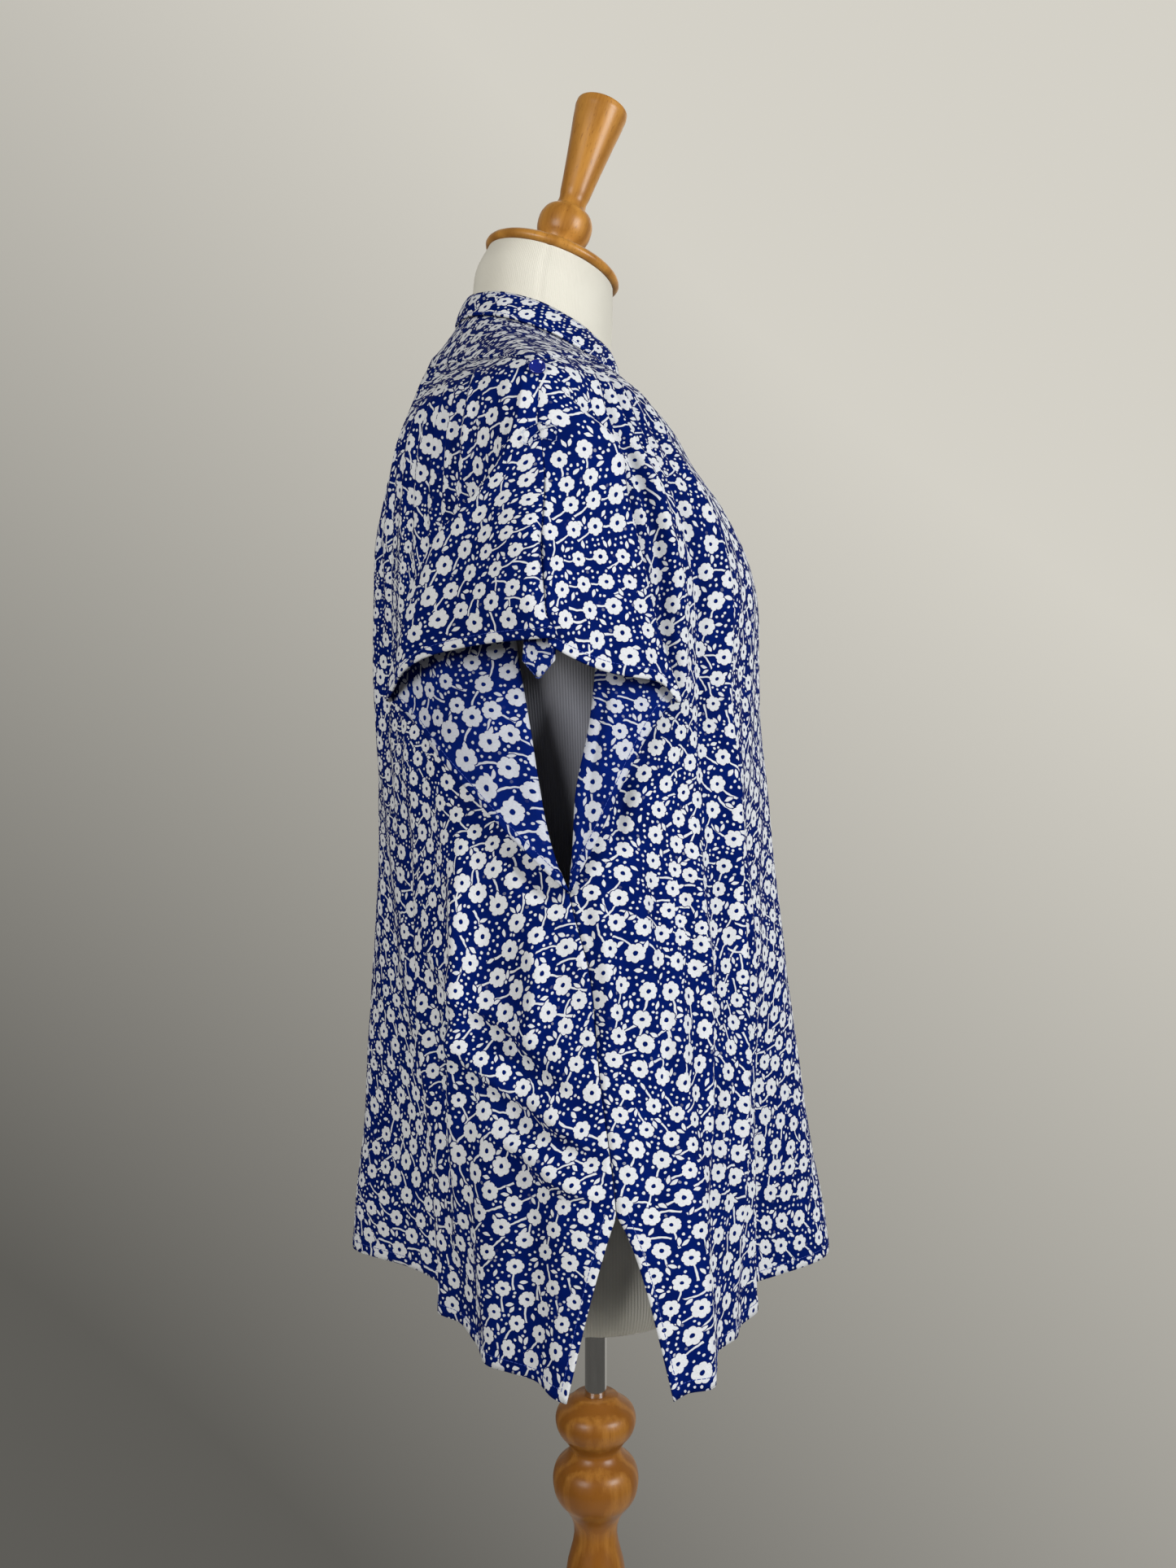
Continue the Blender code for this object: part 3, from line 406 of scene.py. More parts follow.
def read_table(rows, where):
    """The columns of a table at many places, on a smooth curve through its rows."""
    table = np.array(rows, dtype=float)
    if table[0, 0] > table[-1, 0]:
        table = table[::-1]
    places = table[:, 0]
    where = np.clip(where, places[0], places[-1])
    k = np.clip(np.searchsorted(places, where, side="right") - 1, 0, len(places) - 2)
    slopes = np.gradient(table, places, axis=0)
    span = (places[k + 1] - places[k])[..., None]
    t = (where - places[k])[..., None] / span
    values = ((2 * t**3 - 3 * t**2 + 1) * table[k] + (t**3 - 2 * t**2 + t) * span * slopes[k]
              + (3 * t**2 - 2 * t**3) * table[k + 1] + (t**3 - t**2) * span * slopes[k + 1])
    return type(rows[0])(*np.moveaxis(values, -1, 0))


def mix(a, b, t):
    return a + (b - a) * t


def ease(t):
    t = np.clip(t, 0.0, 1.0)
    return t * t * (3 - 2 * t)


def signed_power(value, power):
    return np.sign(value) * np.abs(value) ** power


def long_folds(panel, turn, height):
    """How far the long folds stand out."""
    rise = np.zeros(np.broadcast(turn, height).shape)
    for fold in FOLDS:
        if fold.panel == panel:
            t = (fold.top_height - height) / (fold.top_height - fold.foot_height)
            centre = mix(fold.top_turn, fold.foot_turn, t)
            strength = mix(fold.top_rise, fold.foot_rise, t) * ease(t / 0.25) * (t >= 0) * (t <= 1)
            rise = rise + strength * np.exp(-((turn - centre) / fold.half_turn) ** 2)
    return rise


def soft_creases(panel, side, turn, height):
    """The smaller creases of one half, each bowed and dying out at both ends."""
    rise = np.zeros(np.broadcast(turn, height).shape)
    for crease in CREASES:
        if crease.panel == panel and crease.side == side:
            t = (crease.top_height - height) / (crease.top_height - crease.foot_height)
            centre = mix(crease.top_turn, crease.foot_turn, t) + crease.bend * 4 * t * (1 - t)
            strength = CREASE_STRENGTH * crease.rise * ease(t / 0.3) * ease((1 - t) / 0.3)
            rise = rise + strength * np.exp(-((turn - centre) / crease.half) ** 2)
    ripple = (np.sin(0.31 * turn + 41.0 * height + 2.0 * side + panel)
              * np.sin(0.17 * turn - 23.0 * height + 1.3 * panel)
              + 0.6 * np.sin(0.53 * turn + 17.0 * height + 0.7 * side))
    return rise + RIPPLE_HEIGHT * ripple * ease((1.35 - height) / 0.08)


def body_points(panel, side, turn, height, lift=0.0):
    """Points of the worn cloth: turn runs from the centre line (0) to the side seam (90)."""
    row = read_table(SECTIONS, height)
    edge_y, full, ridge = row.back_y, row.back_full, row.back_ridge
    if panel == FRONT:
        edge_y, full, ridge = row.front_y, row.front_full, row.front_ridge
    depth = edge_y - row.mid_y
    power = 2.0 / full
    sine = np.clip(np.sin(np.radians(turn)), 0.0, 1.0)
    cosine = np.cos(np.radians(turn))
    across = row.side_x * sine ** power
    along = depth * signed_power(cosine, power)
    out_x = sine ** (2.0 - power) / row.side_x
    out_y = signed_power(cosine, 2.0 - power) / depth
    size = np.hypot(out_x, out_y)
    rise = ridge * np.exp(-(turn / RIDGE_TURN) ** 2) + long_folds(panel, turn, height)
    push = lift + rise + soft_creases(panel, side, turn, height)
    return np.stack([side * (across + push * out_x / size),
                     row.mid_y + along + push * out_y / size,
                     height + 0.0 * push], axis=-1)


def ring_points(side, around, lift=0.0):
    """Points of the neckline; around runs from the centre back (0) to the front (180)."""
    across = RING_HALF_WIDTH * np.sin(np.radians(around))
    y = RING_Y + RING_HALF_DEPTH * np.cos(np.radians(around))
    back = y - RING_Y
    return np.stack([side * across, y,
                     RING_HEIGHT + RING_SLOPE * back - RING_ARCH * back * back + lift], axis=-1)


def top_edge(panel, side, turn):
    """The sewn upper edge of a panel from its centre line to its inner fold."""
    if panel == BACK:
        share = turn / BACK_DRAPE[0].inner_turn
        return body_points(BACK, side, turn,
                           mix(BACK_SEAM_TOP, BACK_DRAPE[0].inner_height, share ** SAG_POWER))
    seam_turn = FRONT_DRAPE[0].inner_turn
    start = np.maximum(turn - YOKE_FRONT_TURN, 0.0) / (seam_turn - YOKE_FRONT_TURN)
    seam = body_points(FRONT, side, turn,
                       mix(YOKE_FRONT_HEIGHT, FRONT_DRAPE[0].inner_height, start ** 1.2))
    join = ring_points(side, np.array(180.0 - YOKE_FRONT_TURN * NECK_RATE))
    corner = body_points(FRONT, side, np.array(YOKE_FRONT_TURN), np.array(YOKE_FRONT_HEIGHT))
    fade = ease(1.0 - (turn - YOKE_FRONT_TURN) / NECK_BLEND_TURN)[..., None]
    neck = ring_points(side, 180.0 - turn * NECK_RATE)
    return np.where((turn <= YOKE_FRONT_TURN)[..., None], neck, seam + (join - corner) * fade)


def gathers(panel, side, share, fall):
    """Fine uneven gathers that spring from the yoke seam and run out into the body."""
    start, full = GATHER_ZONES[panel]
    zone = ease((share - start) / (full - start)) * ease((0.93 - share) / 0.10)
    phase = 2 * math.pi * (GATHERS * share + 0.35 * np.sin(9.0 * share + side) + 0.3 * fall * share)
    tight = np.sin(2.0 * phase + 0.8 * np.sin(phase))
    tight = tight * ease(fall / 0.02) * ease((0.20 - fall) / 0.17)
    loose = np.sin(phase) * ease(fall / 0.05) * ease((0.62 - fall) / 0.5)
    return zone * (TIGHT_GATHER * tight + LOOSE_GATHER * loose)


def body_grid(panel, side, share, fall, lift=0.0):
    """Body cloth from the yoke seam (fall 0) to the underarm level (fall 1)."""
    row = read_table(DRAPES[panel], fall)
    centre_top = BACK_SEAM_TOP if panel == BACK else FRONT_NECK_TOP
    centre = mix(centre_top, UNDERARM_HEIGHT + CENTRE_DROP, fall)
    height = mix(centre, row.inner_height, share ** SAG_POWER)
    points = body_points(panel, side, share * row.inner_turn, height,
                         lift + gathers(panel, side, share, fall))
    first = share * DRAPES[panel][0].inner_turn
    start = body_points(panel, side, first,
                        mix(centre_top, DRAPES[panel][0].inner_height, share ** SAG_POWER))
    pull = top_edge(panel, side, first) - start
    return points + pull * ease(1.0 - fall / PULL_SHARE)[..., None]


def skirt_grid(panel, side, share, drop):
    """Body cloth from the underarm level (drop 0) to the hem (drop 1)."""
    centre = mix(UNDERARM_HEIGHT + CENTRE_DROP, HEM_CENTRE, drop)
    edge = mix(UNDERARM_HEIGHT, HEM_SIDE, drop)
    spread = HEM_SPREAD_BACK if panel == BACK else HEM_SPREAD_FRONT
    opened = np.maximum(SLIT_TOP - edge, 0.0) / (SLIT_TOP - HEM_SIDE)
    turn = share * (90.0 - spread * opened ** 0.9)
    height = mix(centre, edge, share ** SAG_POWER)
    flutter = HEM_FLUTTER * drop ** 3 * np.sin(0.24 * turn + 1.7 * side + panel)
    return body_points(panel, side, turn, height + flutter)


def sleeve_grid(panel, side, station, fall, lift=0.0):
    """The hanging sleeve: an inner fold, an inner leaf, an outer fold and an outer leaf."""
    row = read_table(DRAPES[panel], fall)
    loose = 1.0 - ease((fall - 0.8) / 0.2)
    gap = mix(FOLD_GAP_TOP, FOLD_GAP, ease((fall - 0.2) / 0.5))
    turn_in = station / INNER_FOLD_END
    inner = (station - INNER_FOLD_END) / (INNER_LEAF_END - INNER_FOLD_END)
    turn_out = (station - INNER_LEAF_END) / (OUTER_FOLD_END - INNER_LEAF_END)
    outer = np.clip((station - OUTER_FOLD_END) / (LAST_STATION - OUTER_FOLD_END), 0.0, 1.0)
    part = [station <= INNER_FOLD_END, station <= INNER_LEAF_END, station <= OUTER_FOLD_END]
    outer_gap = np.maximum(row.outer_lift, gap)
    turn = np.select(part, [
        row.inner_turn + FOLD_TURN * loose * np.sin(math.pi * turn_in),
        mix(row.inner_turn, row.outer_turn, inner),
        row.outer_turn - FOLD_TURN * np.sin(math.pi * turn_out)],
        mix(row.outer_turn, 90.0, outer))
    hang = np.select(part, [
        gap * turn_in,
        mix(gap, outer_gap, inner),
        outer_gap + gap * turn_out],
        mix(outer_gap + gap, row.seam_lift, outer ** OUTER_LEAF_POWER))
    bow = 1.0 + (BACK_HEM_BOW if panel == BACK else FRONT_HEM_BOW) * fall
    rise = 1.0 - (1.0 - outer) ** bow
    if panel == FRONT:
        swept = FRONT_HEM_DROP * (1.0 - (1.0 - outer) ** 14) + (1.0 - FRONT_HEM_DROP) * outer ** 3.5
        rise = mix(rise, swept, ease((fall - 0.5) / 0.5))
    height = np.select(part, [
        row.inner_height + 0.0 * station,
        mix(row.inner_height, row.outer_height, inner)
        + INNER_LEAF_RISE * fall * inner * np.sin(math.pi * np.clip(inner, 0, 1)),
        row.outer_height + 0.0 * station],
        mix(row.outer_height, row.seam_height, rise))
    flat = station / LAST_STATION
    folded = ease((fall - 0.12) / 0.42) if panel == BACK else ease((fall - 0.04) / 0.20)
    parted = ease((fall - 0.04) / 0.22)
    wave = np.sin(2 * math.pi * (1.6 * outer + 0.15 * side) + 0.8 * panel)
    wave = OUTER_LEAF_WAVE * wave * outer * (1 - outer) * 4 * ease((fall - 0.3) / 0.5)
    on_inner = (station > INNER_FOLD_END) * (station < INNER_LEAF_END)
    wave = wave + INNER_LEAF_WAVE * np.sin(2 * math.pi * 1.3 * inner + side) * on_inner * fall
    return body_points(panel, side,
                       mix(mix(row.inner_turn, 90.0, flat), turn, folded),
                       mix(mix(row.inner_height, row.seam_height, flat), height, folded),
                       mix(row.seam_lift * flat, hang, parted) + wave + lift)


def overlap_at_overarm(points, panel, station, fall):
    """Tuck the overarm seam back under a soft fold at the front edge of the sleeve's back leaf."""
    low = ease((fall - LAP_START) / LAP_GROWTH)
    from_seam = LAST_STATION - station
    side = np.sign(points[..., :1])
    forward = np.array([0.0, -1.0, 0.0])
    outward = side * np.array([1.0, 0.0, 0.0])
    if panel == BACK:
        turned = ease(from_seam / LAP_TURN)
        fold = turned * np.exp(-(np.maximum(from_seam - LAP_TURN, 0.0) / LAP_REACH) ** 2)
        tip = LAP_TIP * fold * ease((fall - 0.86) / 0.14)
        ahead = low * (LAP_WIDTH * fold - LAP_TUCK * (1.0 - turned)) + tip
        lift = low * (LAP_LIFT * fold + LAP_REST * (1.0 - turned))
    else:
        near = np.exp(-(from_seam / LAP_REACH) ** 2)
        ahead = -low * LAP_TUCK * near
        lift = low * LAP_REST * np.exp(-(from_seam / SEAM_REST_REACH) ** 2)
    closed = panel * SEAM_CLOSING * np.exp(-(from_seam / SEAM_CLOSING_REACH) ** 2)
    closed = closed * ease(fall / 0.05) * (1.0 - low)
    ahead, lift = ahead + closed, lift + 0.7 * closed
    return points + ahead[..., None] * forward + lift[..., None] * outward


def arc_places(points, across_start=None, down_start=0.0):
    """The flat place of each grid point, by lengths along its row and its column."""
    across = np.zeros(points.shape[:2])
    down = np.zeros(points.shape[:2])
    across[:, 1:] = np.cumsum(np.linalg.norm(np.diff(points, axis=1), axis=-1), axis=1)
    down[1:] = np.cumsum(np.linalg.norm(np.diff(points, axis=0), axis=-1), axis=0)
    if across_start is not None:
        across = across + across_start[:, None]
    return across, down + down_start


def cloth_mesh(name, patches):
    """One sewn sheet from patches of (points, across, down, hem weight, flip)."""
    shape = bmesh.new()
    places = shape.loops.layers.uv.new("cloth")
    weights = shape.verts.layers.deform.verify()
    for points, across, down, hem, flip in patches:
        rows, columns = points.shape[:2]
        corners = [[shape.verts.new(points[i, j]) for j in range(columns)] for i in range(rows)]
        for i in range(rows):
            for j in range(columns):
                corners[i][j][weights][0] = float(mix(HEM_SHARE_OF_THICKNESS, 1.0, hem[i, j]))
        for i in range(rows - 1):
            for j in range(columns - 1):
                ring = [(i, j), (i, j + 1), (i + 1, j + 1), (i + 1, j)]
                if flip:
                    ring.reverse()
                face = shape.faces.new([corners[a][b] for a, b in ring])
                face.smooth = True
                for loop, (a, b) in zip(face.loops, ring):
                    loop[places].uv = (across[a, b], down[a, b])
    bmesh.ops.remove_doubles(shape, verts=shape.verts, dist=1e-6)
    mesh = bpy.data.meshes.new(name)
    shape.to_mesh(mesh)
    shape.free()
    return mesh


def place(name, data, *finishes):
    """A new object in the scene, unmoved."""
    item = bpy.data.objects.new(name, data)
    bpy.context.scene.collection.objects.link(item)
    for finish in finishes:
        data.materials.append(finish)
    return item


def lay_flat(item):
    """Lay the cloth out flat at its real size, the same way up as its first rough layout."""
    mesh = item.data
    count = len(mesh.loops)
    rough = np.zeros(count * 2)
    mesh.uv_layers["cloth"].data.foreach_get("uv", rough)
    rough = rough.reshape(-1, 2)
    bpy.context.view_layer.objects.active = item
    item.select_set(True)
    bpy.ops.object.mode_set(mode="EDIT")
    bpy.ops.mesh.select_all(action="SELECT")
    bpy.ops.uv.unwrap(method="MINIMUM_STRETCH", iterations=FLATTEN_STEPS, margin=0.0)
    bpy.ops.object.mode_set(mode="OBJECT")
    item.select_set(False)
    flat = np.zeros(count * 2)
    mesh.uv_layers["cloth"].data.foreach_get("uv", flat)
    flat = flat.reshape(-1, 2)
    places = flat.reshape(-1, 4, 2)
    a, b = places[:, 2] - places[:, 0], places[:, 3] - places[:, 1]
    drawn = np.abs(a[:, 0] * b[:, 1] - a[:, 1] * b[:, 0]).sum() / 2.0
    real = sum(face.area for face in mesh.polygons)
    flat = (flat - flat.mean(axis=0)) * math.sqrt(real / drawn)
    turn, _, back = np.linalg.svd(flat.T @ (rough - rough.mean(axis=0)))
    flat = flat @ (turn @ back) + rough.mean(axis=0)
    mesh.uv_layers["cloth"].data.foreach_set("uv", flat.ravel())


def give_thickness(item, thickness):
    """Give a sheet its wall, with the wrong side of the cloth inside and thicker hems."""
    item.vertex_groups.new(name="hem")
    wall = item.modifiers.new("cloth thickness", "SOLIDIFY")
    wall.thickness = thickness
    wall.offset = 0.0
    wall.vertex_group = "hem"
    wall.use_rim = True
    wall.material_offset = 1
    wall.material_offset_rim = 0
    return item


def settle(item):
    """Turn a piece with modifiers into a plain mesh."""
    graph = bpy.context.evaluated_depsgraph_get()
    graph.update()
    made = bpy.data.meshes.new_from_object(item.evaluated_get(graph), preserve_all_data_layers=True,
                                           depsgraph=graph)
    item.modifiers.clear()
    item.data = made
    return item


def sewn(name, patches, finishes, thickness, flattened=True):
    """A piece of cloth sewn from patches, with its wall."""
    item = place(name, cloth_mesh(name, patches), *finishes)
    if flattened:
        lay_flat(item)
    return settle(give_thickness(item, thickness))


def panel_patches(panel):
    """The two halves of a panel, body, skirt and sleeve, with their flat places."""
    patches = []
    edges = {}
    for side in (RIGHT, LEFT):
        share = np.linspace(0.0, 1.0, BODY_STEPS + 1)[None, :]
        fall = np.linspace(0.0, 1.0, UPPER_STEPS + 1)[:, None]
        drop = np.linspace(0.0, 1.0, LOWER_STEPS + 1)[:, None]
        body = body_grid(panel, side, *np.broadcast_arrays(share, fall))
        skirt = skirt_grid(panel, side, *np.broadcast_arrays(share, drop))
        skirt[0] = body[-1]
        skirt[:, -1, 1] += panel * SEAM_GAP / 2.0
        body[-1, -1] = skirt[0, -1]
        slit = NECK_SLIT_FALL if panel == FRONT else 0.0
        open_rows = fall[:, 0] < slit
        body[:, 0, 0] = np.where(open_rows, side * mix(NECK_SLIT_GAP, NECK_SLIT_FOOT_GAP,
                                                       fall[:, 0] / max(slit, 1e-6)) / 2.0, 0.0)
        skirt[:, 0, 0] = 0.0
        stations = np.linspace(0.0, LAST_STATION, SLEEVE_STEPS + 1)[None, :]
        station, sleeve_fall = np.broadcast_arrays(stations, fall)
        sleeve = sleeve_grid(panel, side, station, sleeve_fall)
        sleeve = overlap_at_overarm(sleeve, panel, station, sleeve_fall)
        sleeve[:, 0] = body[:, -1]
        sleeve[:, -1, 1] += panel * SEAM_GAP / 2.0
        across, down = arc_places(body)
        skirt_across, skirt_down = arc_places(skirt, None, down[-1])
        sleeve_across, sleeve_down = arc_places(sleeve, across[:, -1])
        sleeve_hem = 1.0 * (fall > 1.0 - SLEEVE_HEM_ROWS / UPPER_STEPS) + 0.0 * station
        foot_hem = 1.0 * (drop > 1.0 - BODY_HEM_ROWS / LOWER_STEPS) + 0.0 * share
        below_slit = mix(UNDERARM_HEIGHT, HEM_SIDE, drop) < SLIT_TOP
        slit_hem = 1.0 * below_slit * (share > 1.0 - BODY_HEM_ROWS / BODY_STEPS)
        flip = side * panel == -1
        shift = LAYOUT_ACROSS[panel]
        patches.append((body, side * across + shift, -down, 0.0 * across, flip))
        patches.append((skirt, side * skirt_across + shift, -skirt_down,
                        np.maximum(foot_hem, slit_hem), flip))
        patches.append((sleeve, side * sleeve_across + shift, -sleeve_down,
                        sleeve_hem, flip))
        edges[side] = {"skirt": skirt, "sleeve": sleeve}
    return patches, edges


def sew_panel(name, panel, finishes):
    patches, edges = panel_patches(panel)
    return sewn(name, patches, finishes, CLOTH_THICKNESS), edges


def yoke_edge(side, lap, lift):
    """The yoke's outer edge, lapped over the panels by a share of their fall."""
    share = np.linspace(0.0, 1.0, 40)
    fall = np.full_like(share, lap)
    back = body_grid(BACK, side, share, fall, lift)
    station = np.linspace(0.0, LAST_STATION, 12)[1:]
    down = np.full_like(station, lap)
    back_end = sleeve_grid(BACK, side, station, down, lift)
    front_end = sleeve_grid(FRONT, side, station, down, lift)[::-1][1:]
    first = (YOKE_FRONT_TURN + 1.2) / FRONT_DRAPE[0].inner_turn
    share = np.linspace(first, 1.0, 24)[::-1]
    front = body_grid(FRONT, side, share, np.full_like(share, lap), lift)
    return np.concatenate([back, back_end, front_end, front])


def sew_yoke(name, finishes):
    """A saddle from the neckline to the gathered edges, lapped and topstitched over them."""
    patches = []
    seams = {}
    for side in (RIGHT, LEFT):
        edge = yoke_edge(side, 0.0, YOKE_LIFT)
        laps = [yoke_edge(side, lap.share, lap.lift) for lap in YOKE_LAPS]
        around = np.linspace(0.0, 180.0 - YOKE_FRONT_TURN * NECK_RATE - 2.0, len(edge))
        inner = ring_points(side, around, -YOKE_LIFT)
        rows = []
        for t in np.linspace(0.0, 1.0, YOKE_STEPS + 1):
            row = mix(inner, edge, t)
            row[:, 2] += YOKE_RISE * t - YOKE_DIP * math.sin(math.pi * t)
            rows.append(row)
        points = np.stack(rows + laps)
        points[:, 0, 0] = 0.0
        _, down = arc_places(points)
        steps = np.linalg.norm(np.diff(points[YOKE_STEPS // 2], axis=0), axis=-1)
        across = np.broadcast_to(np.cumsum(np.concatenate([[0.0], steps])), down.shape)
        hem = np.zeros(down.shape)
        hem[-3:] = 1.0
        patches.append((points, side * across + YOKE_LAYOUT, -down, hem, side == RIGHT))
        seams[side] = points[-2]
    return sewn(name, patches, finishes, CLOTH_THICKNESS), seams


def collar_rows(side, heights):
    around = np.linspace(0.0, 180.0 - COLLAR_OPENING, 60)
    foot = ring_points(side, around, COLLAR_LIFT)
    y = COLLAR_TOP_Y + COLLAR_TOP_HALF_DEPTH * np.cos(np.radians(around))
    back = y - COLLAR_TOP_Y
    height = COLLAR_TOP_HEIGHT + COLLAR_TOP_SLOPE * back - COLLAR_TOP_ARCH * back * back
    top = np.stack([side * COLLAR_TOP_HALF_WIDTH * np.sin(np.radians(around)), y, height], axis=-1)
    rows = []
    for share in heights:
        row = mix(foot, top, share)
        uneven = COLLAR_UNEVENNESS * np.sin(0.21 * around + 2 * share + side)
        bulge = COLLAR_BULGE * math.sin(math.pi * share) + uneven
        away = (row - np.array([0.0, RING_Y, 0.0])) * np.array([1.0, 1.0, 0.0])
        away /= np.linalg.norm(away, axis=-1, keepdims=True)
        rows.append(row + away * np.reshape(bulge, (-1, 1)))
    return np.stack(rows)


def sew_collar(name, finishes):
    patches = []
    rows = {}
    for side in (RIGHT, LEFT):
        points = collar_rows(side, np.linspace(0.0, 1.0, 11))
        across, down = arc_places(points)
        patches.append((points, side * across + COLLAR_LAYOUT[0], down + COLLAR_LAYOUT[1],
                        np.ones(down.shape), side == LEFT))
        rows[side] = points
    return sewn(name, patches, finishes, COLLAR_THICKNESS, flattened=False), rows


def sleeve_point(panel, side, from_seam, fall):
    """One place of a sleeve, by its stations from the overarm seam."""
    return sleeve_grid(panel, side, np.array([LAST_STATION - from_seam]), fall)[0]


def overarm_point(side, height):
    """The overarm seam at a height, and the fall there."""
    heights = [row.seam_height for row in BACK_DRAPE][::-1]
    falls = [row.fall for row in BACK_DRAPE][::-1]
    fall = np.array([np.interp(height, heights, falls)])
    point = sleeve_point(BACK, side, 0.0, fall)
    point[2] = height
    return point, fall


def tab_grid(side, inset):
    """Places of the roll tab, hanging just inside the overarm seam, with a pointed tip."""
    points = np.zeros((TAB_ROWS + 1, TAB_COLUMNS + 1, 3))
    inward = CLOTH_THICKNESS / 2.0 + TAB_THICKNESS / 2.0 + TAB_CLEARANCE
    for i in range(TAB_ROWS + 1):
        height = mix(TAB_TOP, TAB_TIP + TAB_POINT - inset, i / TAB_ROWS)
        seam, fall = overarm_point(side, height)
        swing = TAB_SWING * (TAB_TOP - height) / (TAB_TOP - TAB_TIP)
        point_share = ease((i / TAB_ROWS - 0.80) / 0.2)
        for j in range(TAB_COLUMNS + 1):
            share = 2.0 * j / TAB_COLUMNS - 1.0
            across = share * (TAB_HALF_WIDTH - inset) + swing
            panel = BACK if across > 0 else FRONT
            leaf = sleeve_point(panel, side, 1.0, fall) - seam
            leaf[2] = 0.0
            leaf /= np.linalg.norm(leaf)
            point = seam + leaf * abs(across) - np.array([side * inward, 0.0, 0.0])
            point[2] -= (TAB_POINT - 0.4 * inset) * (1.0 - abs(share)) * point_share
            points[i, j] = point
    return points


def box_path(side):
    """The sewn box that holds the roll tab, on the right side of the cloth over the seam."""
    corners = [(-1, 1), (1, 1), (1, -1), (-1, -1), (-1, 1), (1, -1)]
    path = []
    for (a, b), (c, d) in zip(corners, corners[1:]):
        for t in np.linspace(0.0, 1.0, BOX_STEPS)[:-1]:
            across, up = mix(a, c, t) * BOX_HALF_WIDTH, mix(b, d, t) * BOX_HALF_HEIGHT
            seam, fall = overarm_point(side, BOX_HEIGHT + up)
            panel = BACK if across > 0 else FRONT
            step = np.linalg.norm(sleeve_point(panel, side, 1.0, fall) - seam)
            point = sleeve_point(panel, side, abs(across) / step, fall)
            path.append(point + np.array([side * BOX_LIFT, 0.0, 0.0]))
    return np.array(path)


def sew_tab(name, side, finishes):
    points = tab_grid(side, 0.0)
    across, down = arc_places(points)
    hem = np.ones(down.shape)
    patch = (points, across + TAB_LAYOUT[0], TAB_LAYOUT[1] - down, hem, side == RIGHT)
    return sewn(name, [patch], finishes, TAB_THICKNESS, flattened=False)


def rings_mesh(name, rings):
    """A skin over rings of points, closed at both ends, facing outwards."""
    sides = len(rings[0])
    points = [tuple(point) for ring in rings for point in ring]
    faces = []
    for row in range(len(rings) - 1):
        for k in range(sides):
            after = (k + 1) % sides
            faces.append([row * sides + k, row * sides + after,
                          (row + 1) * sides + after, (row + 1) * sides + k])
    faces.append(list(range(sides))[::-1])
    faces.append([(len(rings) - 1) * sides + k for k in range(sides)])
    mesh = bpy.data.meshes.new(name)
    mesh.from_pydata(points, [], faces)
    mesh.update()
    mesh.shade_smooth()
    shape = bmesh.new()
    shape.from_mesh(mesh)
    bmesh.ops.recalc_face_normals(shape, faces=shape.faces)
    shape.to_mesh(mesh)
    shape.free()
    mesh.set_sharp_from_angle(angle=math.radians(42))
    return mesh


def between(stops, steps):
    """All stops, with steps of equal length between each two."""
    spans = [np.linspace(a, b, steps + 1) for a, b in zip(stops, stops[1:])]
    return np.unique(np.concatenate(spans))


def turn_wood(name, profile, centre, tilt, finish, steps=6, sides=72):
    """A turned piece with its profile smoothed between the table's stops."""
    axis = np.array([0.0, -math.sin(tilt), math.cos(tilt)])
    level = np.array([0.0, math.cos(tilt), math.sin(tilt)])
    stops = [stop.along for stop in profile]
    places = between(stops, steps)
    radii = np.interp(places, stops, [stop.radius for stop in profile])
    if steps > 1:
        radii = read_table(profile, places).radius
    spin = np.linspace(0.0, 2 * math.pi, sides, endpoint=False)
    spokes = np.cos(spin)[:, None] * np.array([1.0, 0.0, 0.0]) + np.sin(spin)[:, None] * level
    rings = [np.array(centre) + axis * a + spokes * r for a, r in zip(places, radii)]
    return place(name, rings_mesh(name, rings), finish)


def make_button(name, side, finish):
    """A round button with a rim and a dished middle, seated on the overarm seam."""
    seam, _ = overarm_point(side, BUTTON_HEIGHT)
    outward = np.array([side * math.cos(BUTTON_LEAN), 0.0, math.sin(BUTTON_LEAN)])
    flat = np.array([0.0, 1.0, 0.0])
    upward = np.cross(outward, flat) * side
    foot = seam + outward * (CLOTH_THICKNESS / 2.0 - BUTTON_SEAT)
    spin = np.linspace(0.0, 2 * math.pi, 48, endpoint=False)
    spokes = np.cos(spin)[:, None] * flat + np.sin(spin)[:, None] * upward
    rings = [foot + outward * stop.rise + spokes * (stop.share * BUTTON_RADIUS)
             for stop in BUTTON_PROFILE]
    return place(name, rings_mesh(name, rings), finish)


def pad_form(name, finish):
    """The padded body of the dress form with smooth levels."""
    heights = between([ring.height for ring in FORM_RINGS], 6)
    spin = np.linspace(0.0, 2 * math.pi, 128, endpoint=False)
    rings = []
    rows = read_table(FORM_RINGS, heights)
    for k in range(len(heights)):
        power = 2.0 / rows.fullness[k]
        x = rows.half_width[k] * signed_power(np.sin(spin), power)
        y = rows.half_depth[k] * signed_power(np.cos(spin), power)
        seam = FORM_SEAM_DEPTH * (np.exp(-(np.cos(spin) / FORM_SEAM_WIDTH) ** 2)
                                  + np.exp(-(np.sin(spin) / FORM_SEAM_WIDTH) ** 2))
        squeeze = 1.0 - seam / rows.half_width[k]
        rings.append(np.stack([x * squeeze, rows.mid_y[k] + y * squeeze,
                               heights[k] + rows.slope[k] * y], axis=-1))
    return place(name, rings_mesh(name, rings), finish)


